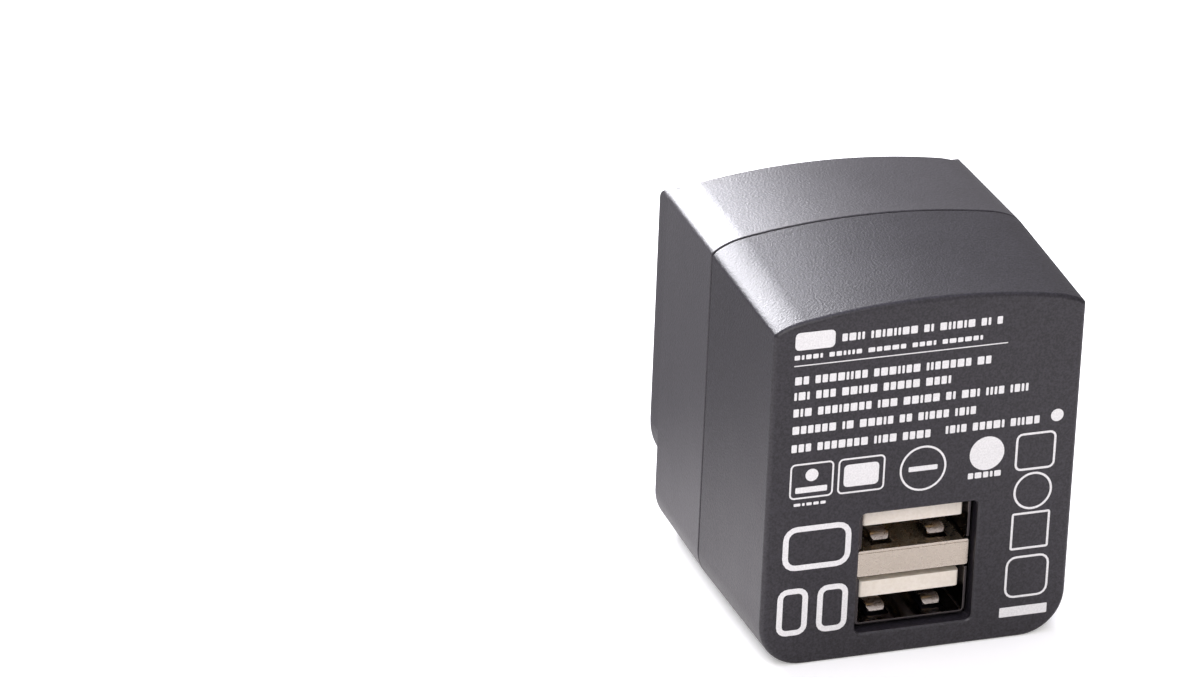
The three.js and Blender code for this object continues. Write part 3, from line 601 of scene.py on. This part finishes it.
housing = dict(
    frontY=-20.58, seamY=-0.8, floorY=14.6, chinY=15.2, rimY=18.8, seamGap=0.26, wall=1.8, footRadius=5.2,
    sections=((-20.6, 18.16, 43.1, 0.85, 3.6), (-0.8, 18.418, 44.58, 1.25, 4.0), (15.2, 18.09, 44.62, 1.2, 4.0)),
    frontEdge=0.5, seamEdge=0.14, chinEdge=0.4, socketDepth=1.8, socketInset=0.65, spigotLength=1.5,
    spigotInset=0.98, rimBottom=5.8, rimRadius=7.0, rimRoundZ=37.0, rimTopZ=42.7, rimEdge=1.45, rimInset=0.02,
    rimSideSteps=24, recessBottom=7.2, grooveHalf=16.4, grooveCorner=5.5, railHalf=14.6, railCorner=3.8,
    railDepth=2.2, railTop=37.0, slotX=10.9, slotHalf=1.5, slotBottom=25.4, slotTop=32.2, slotTailHalf=0.7,
    slotTailBottom=21.0, slotCut=(12, 16), pastBack=25, pastTop=60,
)
window = dict(half=6.95, bottom=2.95, top=17.75, radius=0.7, chamfer=0.16, flare=0.5, pocketHalf=6.85,
              pocketFront=-19.7, pocketBottom=3.1, pocketTop=18.85)
latch = dict(top=22.3, bottom=5.85, halfTop=4.12, halfBottom=4.68, slit=0.45, thick=1.3, footY=18.0, catchTop=18.5,
             catchBottom=8.9, catchRise=2.05, catchInset=0.2, shelf=0.9, rootGap=0.02)


def sectionAt(y):
    first, middle, last = housing["sections"]
    a, b = (first, middle) if y < middle[0] else (middle, last)
    t = (y - a[0]) / (b[0] - a[0])
    return [a[i] + (b[i] - a[i]) * t for i in range(1, 5)]  # half width, crown, shoulder drop, shoulder reach


def housingRing(y, inset):
    half, crown, drop, reach = sectionAt(y)
    outline = housingOutline(half - inset, inset, crown - inset, housing["footRadius"] - inset,
                             max(drop - inset * 0.5, 0.3), reach - inset)
    return [(x, y, z) for x, z in outline]


def roundedEnd(y, radius, way, steps=5):
    # stations (y, inset) of a rounded edge that ends at y; way is 1 for an end at high y
    return [(y - way * radius * (1 - math.sin(a)), radius * (1 - math.cos(a)))
            for a in [math.radians(90 * i / steps) for i in range(steps + 1)]]


def housingBlock(stations):
    return loft([housingRing(y, inset) for y, inset in stations])


def buildFrontShell():
    h, w = housing, window
    front = h["frontY"]
    mouth = h["seamY"] - h["seamGap"] / 2
    beyond = h["seamY"] + 1
    outside = roundedEnd(front, h["frontEdge"], -1)[::-1] + roundedEnd(mouth, h["seamEdge"], 1, 3)
    shell = asObject("front_shell_moulding", housingBlock(outside))
    inner = front + h["wall"]
    hole = roundRect(-w["half"], w["half"], w["bottom"], w["top"], w["radius"])
    out = w["flare"]
    flare = roundRect(-w["half"] - out, w["half"] + out, w["bottom"] - out, w["top"] + out, w["radius"] + out)
    lip = loft([[(x, front - out + w["chamfer"], z) for x, z in flare],
                [(x, front + w["chamfer"], z) for x, z in hole]])
    carve(shell, housingBlock([(inner, h["wall"]), (beyond, h["wall"])]),
          housingBlock([(mouth - h["socketDepth"], h["socketInset"]), (beyond, h["socketInset"])]),
          prism(hole, "y", front - 1, inner + 1), lip,
          block(-w["pocketHalf"], w["pocketHalf"], w["pocketFront"], inner + 1, w["pocketBottom"], w["pocketTop"]))
    finishPiece(shell, materials["housingPlastic"], "root", ("front_shell",), smoothAngle=38)


def recessOutline(half, bottom, top, corner):
    side, low = half - corner, bottom + corner
    return arc(-side, low, corner, 180, 270, 12) + arc(side, low, corner, -90, 0, 12) + [(half, top), (-half, top)]


def latchOutline(grow, bottom, top):
    low, high = latch["halfBottom"] + grow, latch["halfTop"] + grow
    return [(-low, bottom), (low, bottom), (high, top), (-high, top)]


def atLatchRoot(edge):
    # the tongue is one with the floor at its root, so no edge shows there
    return all(abs(v.co.z - latch["top"]) < 0.1 and abs(v.co.x) < 6 for v in edge.verts)


def buildRearShell():
    h = housing
    floor, wall = h["floorY"], h["wall"]
    mouth = h["seamY"] + h["seamGap"] / 2
    body = roundedEnd(mouth, h["seamEdge"], -1, 3)[::-1] + roundedEnd(h["chinY"], h["chinEdge"], 1, 4)
    shell = asObject("rear_shell_moulding", housingBlock(body))
    half, crown, drop, reach = sectionAt(h["chinY"])
    rings = []
    for y, inset in [(floor - 2, 0)] + roundedEnd(h["rimY"], h["rimEdge"], 1, 8):
        outline = housingOutline(half - inset - h["rimInset"], h["rimBottom"] + inset * 0.5, crown - h["rimInset"],
                                 h["rimRadius"] - inset * 0.5, drop, reach)
        rings.append([(x, y, z) for x, z in outline])
    rim = asObject("rim", loft(rings))
    rise, depth = h["rimTopZ"] - h["rimRoundZ"], h["rimY"] - floor
    side = [(floor - 3, 0), (h["rimY"] + 1, 0), (h["rimY"] + 1, h["rimRoundZ"] - 0.01)]
    for i in range(h["rimSideSteps"] + 1):
        angle = math.radians(90 * i / h["rimSideSteps"])
        side.append((floor + depth * math.cos(angle), h["rimRoundZ"] + rise * math.sin(angle)))
    side.append((floor - 3, crown - 1))
    combine(rim, prism(side, "x", -20, 20), "INTERSECT")
    bm = bmesh.new()
    bm.from_mesh(rim.data)
    bpy.data.objects.remove(rim)
    combine(shell, bm, "UNION")
    spigot = [(h["seamY"] - h["spigotLength"], h["spigotInset"]), (h["seamY"] + 1, h["spigotInset"])]
    combine(shell, housingBlock(spigot), "UNION")
    slots = []
    for x in (-h["slotX"], h["slotX"]):
        for wide, low, high in ((h["slotHalf"], h["slotBottom"], h["slotTop"]),
                                (h["slotTailHalf"], h["slotTailBottom"], h["slotBottom"] + 0.5)):
            slots.append(block(x - wide, x + wide, *h["slotCut"], low, high))
    groove = recessOutline(h["grooveHalf"], h["recessBottom"], h["pastTop"], h["grooveCorner"])
    rail = recessOutline(h["railHalf"], h["recessBottom"], h["pastTop"], h["railCorner"])
    slit = latchOutline(latch["slit"], latch["bottom"] - 0.6, latch["top"] + latch["rootGap"])
    carve(shell, housingBlock([(h["seamY"] - 3, wall), (floor - wall, wall)]),
          prism(groove, "y", floor, h["rimY"] - h["railDepth"]), prism(rail, "y", floor + 0.5, h["pastBack"]),
          block(-h["grooveHalf"], h["grooveHalf"], floor + 0.5, h["pastBack"], h["railTop"], h["pastTop"]),
          prism(slit, "y", h["slotCut"][0], h["pastBack"]), *slots)
    finishPiece(shell, materials["rearHousingPlasticPaintedLighter"], "root", ("rear_shell",), edge=0.16,
                smoothAngle=38, keepSharp=atLatchRoot)


def buildLatch():
    t = latch
    floor = housing["floorY"]
    rest = housing["recessBottom"]
    profile = [(floor - t["thick"], t["bottom"] - 0.2), (floor, t["bottom"] - 0.2),
               (t["footY"] - 0.3, t["bottom"])]
    profile += arc(t["footY"] - 0.35, rest - 0.35, 0.35, 0, 90, 4)
    profile += arc(floor + 0.3, rest + 0.3, 0.3, 270, 180, 3)
    profile += [(floor, t["catchBottom"] - 0.1), (floor + t["catchRise"] - 0.25, t["catchBottom"])]
    profile += arc(floor + t["catchRise"] - 0.25, t["catchBottom"] + 0.25, 0.25, -90, 10, 4)
    profile += [(floor, t["catchTop"]), (floor, t["top"]), (floor - 0.6, t["top"] - 0.02),
                (floor - t["thick"] + 0.3, t["top"] - 0.25), (floor - t["thick"], t["top"] - 4)]
    tongue = asObject("latch_tongue_moulding", prism(profile, "x", -6, 6))
    combine(tongue, prism(latchOutline(0, t["bottom"] - 1, t["top"]), "y", 5, 20), "INTERSECT")
    shelf = rest + t["shelf"]
    for sign in (-1, 1):  # the catch stands a little inside the tongue's edges
        trim = [(sign * (t["halfBottom"] - t["catchInset"]), shelf), (sign * 8, shelf), (sign * 8, t["top"] + 1),
                (sign * (t["halfTop"] - t["catchInset"]), t["top"])]
        carve(tongue, prism(trim, "y", floor, 20))
    finishPiece(tongue, materials["rearHousingPlasticPaintedLighter"], "latch", ("latch_tongue",), edge=0.1,
                smoothAngle=38, keepSharp=atLatchRoot)


buildFrontShell()
buildRearShell()
buildLatch()
print("housing built")


# ---- bent strips ----

def smoothPath(points, steps):
    # a Catmull-Rom curve through the points
    ends = [points[0]] + list(points) + [points[-1]]
    path = []
    for i in range(1, len(ends) - 2):
        a, b, c, d = (Vector(p) for p in ends[i - 1:i + 3])
        for k in range(steps):
            t = k / steps
            path.append(0.5 * (2 * b + (c - a) * t + (2 * a - 5 * b + 4 * c - d) * t * t
                               + (3 * b - a - 3 * c + d) * t ** 3))
    return path + [Vector(points[-1])]


def stripOutline(path, thick):
    # even thickness on both sides of a path
    left, right = [], []
    for i, p in enumerate(path):
        along = (path[min(i + 1, len(path) - 1)] - path[max(i - 1, 0)]).normalized()
        side = Vector((-along.y, along.x)) * thick / 2
        left.append(tuple(p + side))
        right.append(tuple(p - side))
    return left + right[::-1]


def buildStrip(name, path, thick, x, width, planOutline=None):
    strip = asObject(name, prism(stripOutline(path, thick), "x", x - width / 2, x + width / 2))
    if planOutline:
        combine(strip, prism([(x + a, b) for a, b in planOutline], "z", 0, 40), "INTERSECT")
    return strip


# ---- mains contacts ----

contact = dict(width=2.4, thick=0.34, noseY=4.95, noseZ=26.85, noseRadius=0.87, slits=(-0.42, 0.42), slitWidth=0.2,
               slitFrom=3.2)


def buildContact(label, sign):
    c = contact
    floor = housing["floorY"]
    x = sign * housing["slotX"]
    noseY, noseZ = floor + c["noseY"], c["noseZ"]
    points = [(floor - 4.2, 34.0), (floor - 3.1, 33.2), (floor - 2.4, 31.9), (floor - 1.4, 31.35),
              (floor + 0.9, 30.6), (noseY - 0.6, noseZ + 1.65)]
    points += arc(noseY, noseZ, c["noseRadius"], 54, -99, 6)
    points += [(noseY - 1.3, noseZ - 0.62), (floor + 1.0, 26.85), (floor - 1.2, 27.2)]
    spring = buildStrip("contact_spring_strip_" + label, smoothPath(points, 4), c["thick"], x, c["width"])
    for offset in c["slits"]:
        left, right = x + offset - c["slitWidth"] / 2, x + offset + c["slitWidth"] / 2
        carve(spring, block(left, right, floor + c["slitFrom"], 25, 20, 40))
    finishPiece(spring, materials["springNickel"], "mains_spring_" + label,
                ("contact_spring_" + label,), edge=0.07, smoothAngle=40)


buildContact("left", 1)
buildContact("right", -1)
print("mains contacts built")


# ---- USB stack ----

usb = dict(front=-19.4, depth=17.5, half=6.55, bottom=3.4, top=18.55, sheet=0.3, corner=0.55, bandBottom=9.4,
           bandTop=12.55, bandCorner=0.25, bandInset=0.3, bandDepth=14, foldLine=0.32, foldWidth=0.05,
           sideHoles=(4, 9.5), sideHoleHalf=0.9, tongueHalf=5.9, tongueThick=1.9, tongueDrop=1.05,
           tongueFrom=0.75, tongueTo=14.6, tongueCorner=0.35, grooveHalf=0.85, grooveFrom=1.6, grooveTo=18.5,
           pinLift=0.35, grooveRise=0.95, tabX=3.3, tabWidth=2.1, tabRoot=9.2, tabTip=1.7,
           pins=(-3.5, -1.0, 1.0, 3.5))


def tabOpenings(low, high):
    u = usb
    side = u["tabWidth"] / 2 + 0.3
    front, back = u["front"] + u["tabTip"] - 0.5, u["front"] + u["tabRoot"] + 0.3
    return [prism(roundRect(x - side, x + side, front, back, 0.4), "z", low, high)
            for x in (-u["tabX"], u["tabX"])]


def buildShield():
    u = usb
    half, low, high, sheet, corner = u["half"], u["bottom"], u["top"], u["sheet"], u["corner"]
    front, back = u["front"], u["front"] + u["depth"]
    shell = asObject("usb_shield_sheet", prism(roundRect(-half, half, low, high, corner), "y", front, back))
    inner = roundRect(-half + sheet, half - sheet, low + sheet, high - sheet, corner - sheet)
    holeFrom, holeTo = (front + v for v in u["sideHoles"])
    tall = u["sideHoleHalf"]
    sideHoles = [prism(roundRect(holeFrom, holeTo, z - tall, z + tall, 0.5), "x", side - 0.6, side + 0.6)
                 for side in (-6.4, 6.4) for z in (u["bandBottom"] - 3, u["bandTop"] + 2.6)]
    carve(shell, prism(inner, "y", front - 1, back - sheet),
          block(-8, 8, front - 1, front + sheet + 0.3, u["bandBottom"] - 0.3, u["bandTop"] + 0.3),
          block(-u["tongueHalf"], u["tongueHalf"], back - 1, back + 1, low + 1.2, high - 1.2),
          *tabOpenings(low - 1, low + 1), *sideHoles)
    finishPiece(shell, materials["shieldNickelShaded"], "root", ("usb_shield",), edge=0.06)


def buildDivider():
    u = usb
    half = u["half"] - u["sheet"] - u["bandInset"]
    front, low, high, sheet = u["front"], u["bandBottom"], u["bandTop"], u["sheet"]
    back = front + u["bandDepth"]
    plate = roundRect(-u["half"], u["half"], low, high, u["bandCorner"])
    band = asObject("usb_divider_band", prism(plate, "y", front, front + sheet))
    combine(band, block(-half, half, front + sheet / 2, back, low, high), "UNION")
    fold = high - u["foldLine"]
    carve(band, block(-half - 1, half + 1, front + sheet, back - sheet, low + sheet, high - sheet),
          block(-8, 8, front - 1, front + 0.1, fold - u["foldWidth"], fold), *tabOpenings(high - 0.5, high + 1))
    finishPiece(band, materials["bandNickel"], "root", ("usb_divider",), edge=0.05)


def buildTongue(label, ceiling, low):
    u = usb
    front = u["front"]
    top = ceiling - u["tongueDrop"]
    bottom = top - u["tongueThick"]
    half = u["tongueHalf"]
    plan = roundRect(-half, half, front + u["tongueFrom"], front + u["tongueTo"], u["tongueCorner"])
    tongue = asObject("usb_tongue_moulding_" + label, prism(plan, "z", bottom, top))
    back = front + u["depth"] - 0.6
    combine(tongue, block(-half, half, front + 14.4, back, low + 0.3, ceiling - 0.3), "UNION")
    grooveTop = bottom + u["pinLift"] + u["grooveRise"]
    carve(tongue, *[block(x - u["grooveHalf"], x + u["grooveHalf"], front + u["grooveFrom"], front + u["grooveTo"],
                          bottom - 0.02, grooveTop) for x in u["pins"]])
    finishPiece(tongue, materials["tonguePlastic"], "root", ("usb_tongue_" + label,), edge=0.12)


def buildPins(label, ceiling):
    u = usb
    z = ceiling - u["tongueDrop"] - u["tongueThick"] + u["pinLift"]
    path = [Vector((u["front"] + y, z + rise)) for y, rise in
            ((2.1, 0.15), (2.6, -0.35), (3.3, -0.6), (4.2, -0.35), (5.5, 0.1), (17.2, 0.1))]
    thick, width = 0.21, 0.98
    for i, x in enumerate(u["pins"], 1):
        pin = buildStrip(f"usb_pin_{label}_{i}", smoothPath(path[:5], 3)[:-1] + path[4:], thick, x, width)
        finishPiece(pin, materials["contactGold"], f"usb_contact_{label}_{i}_leaf",
                    (f"usb_contact_{label}_{i}",), edge=0.04)


def buildTabs(label, floor):
    u = usb
    front = u["front"]
    points = [(front + u["tabRoot"], floor - 0.15), (front + 7.5, floor - 0.1), (front + 4.6, floor + 0.55),
              (front + 3.2, floor + 0.82), (front + 2.4, floor + 0.72), (front + u["tabTip"] + 0.15, floor + 0.2)]
    side, thick = u["tabWidth"] / 2, 0.26
    plan = roundRect(-side, side, front + u["tabTip"], front + u["tabRoot"], 0.55)
    for name, x in (("left", -u["tabX"]), ("right", u["tabX"])):
        tab = buildStrip(f"usb_tab_strip_{label}_{name}", smoothPath(points, 4), thick, x, u["tabWidth"], plan)
        finishPiece(tab, materials["tabNickel"], f"usb_tab_{label}_{name}_leaf",
                    (f"usb_tab_{label}_{name}",), edge=0.06)


buildShield()
buildDivider()
for label, ceiling, low in (("upper", usb["top"] - usb["sheet"], usb["bandTop"]),
                            ("lower", usb["bandBottom"], usb["bottom"] + usb["sheet"])):
    buildTongue(label, ceiling, low)
    buildPins(label, ceiling)
    buildTabs(label, low)
print("USB stack built")


# ---- electronics, kept as they are and given their finishes ----

carriedOver = {  # node: finish, and how far the leads stand out on an axis as (low, high) in millimetres
    "output_capacitor_upper": ("sleeveGreen", dict(y=(0.3, 1.7))),
    "output_capacitor_lower": ("sleeveGreen", dict(y=(0.3, 1.7))),
    "output_inductor": ("ferriteGrey", dict(y=(0, 1.7))),
    "output_diode": ("epoxyBlack", dict(y=(0, 1.7), z=(2.1, 2.1))),
    "port_controller_chip": ("epoxyBlack", dict(x=(1.0, 1.0))),
    "bulk_capacitor_left": ("sleeveBlack", dict(y=(1.7, 0.3))),
    "bulk_capacitor_right": ("sleeveBlack", dict(y=(1.7, 0.3))),
    "bridge_rectifier": ("epoxyBlack", dict(y=(1.7, 0))),
    "input_choke": ("ferriteGrey", dict(y=(1.7, 0))),
    "fusible_resistor": ("resistorCoat", dict(y=(1.7, 0), z=(2.2, 2.2))),
    "safety_capacitor": ("lacquerBlue", dict(y=(2.2, 0))),
    "switching_chip": ("epoxyBlack", dict(x=(1.0, 1.0))),
    "optocoupler": ("epoxyBlack", dict(x=(1.0, 1.0))),
    "transformer_bobbin": ("bobbinPhenolic", dict(y=(0, 1.7))),
}
plainFinish = {
    "main_board": "solderMask", "transformer_core_left": "ferriteGrey", "transformer_core_right": "ferriteGrey",
    "transformer_winding": "windingCopper", "transformer_tape": "tapeYellow", "contact_base_left": "baseNickel",
    "contact_base_right": "baseNickel", "contact_wire_left": "wireRed", "contact_wire_right": "wireBlack",
}


def dress(name, material):
    for place in nodes[name].material_slots:
        place.material = material


def dressElectronics():
    for name, (finish, leads) in carriedOver.items():
        low, high = ([*corner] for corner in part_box(name))
        for axis, (below, above) in leads.items():
            low["xyz".index(axis)] += below * mm
            high["xyz".index(axis)] -= above * mm
        dress(name, bodyWithLeads(name + "_finish", plastics[finish], metals["baseNickel"], low, high))
    for name, finish in plainFinish.items():
        dress(name, materials[finish])


dressElectronics()
print("electronics finished")


# ---- rating print: plain bars and outlines, no lettering ----

rating = dict(depth=0.02, sunk=0.01, seed=7, barGap=0.2, wordGap=0.55, leastRoom=0.4, letters=(2, 8),
              widths=(0.3, 0.62, 0.62, 0.78))
draw = random.Random(rating["seed"])


def printBody(bm, outline, hole=None):
    # a flat island of ink, with an optional hole of the same point count
    back = housing["frontY"] + rating["sunk"]
    face = housing["frontY"] - rating["depth"]
    levels = [(outline, face), (outline, back)] + ([(hole, back), (hole, face)] if hole else [])
    loops = [[bm.verts.new((x, y, z)) for x, z in points] for points, y in levels]
    if hole:
        joinLoops(bm, loops + loops[:1])
    else:
        joinLoops(bm, loops)
        bm.faces.new(loops[0][::-1])
        bm.faces.new(loops[1])


def bar(bm, x0, x1, z0, z1, radius=0.12):
    printBody(bm, roundRect(x0, x1, z0, z1, radius, 3))


def frameMark(bm, x0, x1, z0, z1, stroke, radius):
    printBody(bm, roundRect(x0, x1, z0, z1, radius, 4),
              roundRect(x0 + stroke, x1 - stroke, z0 + stroke, z1 - stroke, max(radius - stroke, 0.05), 4))


def ringMark(bm, x, z, radius, stroke):
    printBody(bm, arc(x, z, radius, 0, 360, 40)[:-1], arc(x, z, radius - stroke, 0, 360, 40)[:-1])


def disc(bm, x, z, radius):
    printBody(bm, arc(x, z, radius, 0, 360, 32)[:-1])


def textRow(bm, x0, x1, z, height=0.95):
    # words of short bars between x0 and x1
    x = x0
    while x < x1 - rating["leastRoom"]:
        for _ in range(draw.randint(*rating["letters"])):
            width = draw.choice(rating["widths"])
            if x + width > x1:
                break
            bar(bm, x, x + width, z - height / 2, z + height / 2, 0.1)
            x += width + rating["barGap"]
        x += rating["wordGap"]


ratingRows = (
    (bar, -15.8, -11.2, 38.6, 40.7, 0.5), (textRow, -10.4, 9.1, 39.6, 0.9), (textRow, -15.8, 7.0, 37.75, 0.55),
    (bar, -15.8, 9.1, 36.7, 36.82, 0.05), (textRow, -15.6, 7.7, 34.95), (textRow, -15.6, 3.8, 33.1),
    (textRow, -15.6, 12.5, 31.1), (textRow, -15.6, 6.1, 29.0), (textRow, -15.6, 1.1, 26.8),
    (textRow, 2.4, 14.6, 26.95), (disc, 15.6, 27.2, 0.75), (textRow, 5.4, 9.6, 20.9, 0.7),
    (textRow, -15.0, -11.0, 19.9, 0.35),
)
ratingMarks = (
    (frameMark, -15.6, -10.5, 20.6, 24.9, 0.2, 0.6), (bar, -14.9, -11.2, 21.3, 22.0), (disc, -13.05, 23.4, 0.75),
    (frameMark, -10.0, -4.5, 20.6, 24.9, 0.2, 0.6), (bar, -9.3, -5.2, 21.4, 24.1, 0.5),
    (ringMark, 0, 22.6, 2.75, 0.24), (bar, -1.7, 1.7, 22.3, 22.9), (disc, 7.5, 23.5, 2.05),
    (frameMark, 10.9, 15.7, 20.8, 25.4, 0.26, 0.8), (ringMark, 13.3, 18.2, 2.3, 0.26),
    (frameMark, 11.0, 15.6, 11.0, 15.6, 0.26, 0.3), (frameMark, 10.7, 15.9, 5.0, 10.2, 0.26, 1.2),
    (bar, 10.3, 16.0, 2.7, 3.9, 0.1), (frameMark, -16.0, -8.0, 11.8, 17.2, 0.66, 1.6),
    (frameMark, -16.3, -12.7, 3.8, 9.6, 0.66, 1.2), (frameMark, -11.6, -8.0, 3.8, 9.6, 0.66, 1.2),
)


def buildPrint(name, shapes):
    bm = bmesh.new()
    for addShape, *measures in shapes:
        addShape(bm, *measures)
    bmesh.ops.recalc_face_normals(bm, faces=bm.faces)
    finishPiece(asObject(name, bm), materials["printInk"], "root")


buildPrint("rating_rows", ratingRows)
buildPrint("rating_marks", ratingMarks)
print("rating print built")


# ---- camera and light ----

view = dict(location=(-0.2346, -0.5729, 0.3155), azimuth=-19.58, elevation=24.96, roll=2.22, lens=182.4,
            sensor=36.0, nearest=0.01)


def direction(azimuth, elevation, side):
    # azimuth towards the right, from straight in front (side -1) or behind (side 1)
    az, el = math.radians(azimuth), math.radians(elevation)
    return Vector((math.sin(az) * math.cos(el), side * math.cos(az) * math.cos(el), math.sin(el)))


def addCamera():
    back = direction(view["azimuth"], view["elevation"], -1)
    data = bpy.data.cameras.new("camera")
    data.lens, data.sensor_width, data.clip_start = view["lens"], view["sensor"], view["nearest"]
    camera = bpy.data.objects.new("camera", data)
    turn = back.to_track_quat("Z", "Y").to_matrix().to_4x4()
    roll = Matrix.Rotation(math.radians(view["roll"]), 4, "Z")
    camera.matrix_world = Matrix.Translation(view["location"]) @ turn @ roll
    bpy.context.scene.collection.objects.link(camera)
    bpy.context.scene.camera = camera


# the floor colours that other rays see fade into painted shade behind the charger, and the glow that the lens sees
# is painted light
studio = dict(floorHalf=1500, pale=(0.86, 0.86, 0.86), paler=(0.9, 0.9, 0.9), nearPaintedBounce=(0.86, 0.84, 0.82),
              farPaintedShade=(0.16, 0.156, 0.155), paintedShadeFadesTo=0.045, paintedGlow=(0.3, 0.3, 0.3), roughness=0.8,
              air=(1.0, 0.97, 0.965), airStrength=0.4, target=(0, 0, 0.02))


def addFloor():
    # the lens sees it pale with a painted glow that lifts the shadows on it; other rays see painted shade that
    # darkens it behind the charger
    bm = bmesh.new()
    bmesh.ops.create_grid(bm, x_segments=8, y_segments=8, size=studio["floorHalf"])
    floor = asObject("floor", bm)
    floor.data.transform(Matrix.Scale(mm, 4))
    material, tree, shader = newMaterial("paleFloor")
    noise = addNode(tree, "TexNoise", -500, 0, {"Scale": 40.0, "Detail": 3.0}).outputs["Fac"]
    seen = mixColors(tree, -250, 0, noise, rgba(studio["pale"]), rgba(studio["paler"]))
    split = addNode(tree, "SeparateXYZ", -720, -200, {0: objectPlace(tree, -900, -200)})
    depth = addRange(tree, -520, -200, split.outputs["Y"], 0.0, studio["paintedShadeFadesTo"])
    paintedBounceShade = mixColors(tree, -300, -160, depth, rgba(studio["nearPaintedBounce"]), rgba(studio["farPaintedShade"]))
    toLens = addNode(tree, "LightPath", -500, 300).outputs["Is Camera Ray"]
    feed(tree, shader, {
        "Base Color": mixColors(tree, -60, 100, toLens, paintedBounceShade, seen),
        "Emission Color": mixColors(tree, -60, -200, toLens, (0, 0, 0, 1), rgba(studio["paintedGlow"])),
        "Emission Strength": 1.0, "Roughness": studio["roughness"]})
    floor.data.materials.append(material)
    floor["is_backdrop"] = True


def addSoftbox(name, box):
    light = bpy.data.lights.new(name, "AREA")
    light.shape = "RECTANGLE"
    light.size, light.size_y = box["width"], box["height"]
    light.energy, light.color = box["power"], box["tint"]
    obj = bpy.data.objects.new(name, light)
    target = Vector(studio["target"])
    location = target + direction(box["azimuth"], box["elevation"], 1) * box["distance"]
    turn = (target - location).to_track_quat("-Z", "Y").to_matrix().to_4x4()
    obj.matrix_world = Matrix.Translation(location) @ turn
    bpy.context.scene.collection.objects.link(obj)


def addWorld():
    world = bpy.data.worlds.new("studio")
    world.use_nodes = True
    feed(world.node_tree, world.node_tree.nodes["Background"],
         {"Color": rgba(studio["air"]), "Strength": studio["airStrength"]})
    bpy.context.scene.world = world


addCamera()
addFloor()
addWorld()
lights = {
    "key": dict(azimuth=-10, elevation=28, distance=0.75, width=0.44, height=0.3, power=12.6,
                tint=(0.95, 0.945, 1.0)),
    "fill": dict(azimuth=-165, elevation=42, distance=0.9, width=0.6, height=0.6, power=4.6,
                 tint=(1.0, 0.975, 0.955)),
    "above": dict(azimuth=0, elevation=88, distance=0.9, width=0.8, height=0.8, power=3.4,
                  tint=(0.78, 0.76, 1.0)),
}
for name, light in lights.items():
    addSoftbox(name, light)
bpy.context.scene.view_settings.view_transform = "Standard"
print("camera and light set")

low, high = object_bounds()
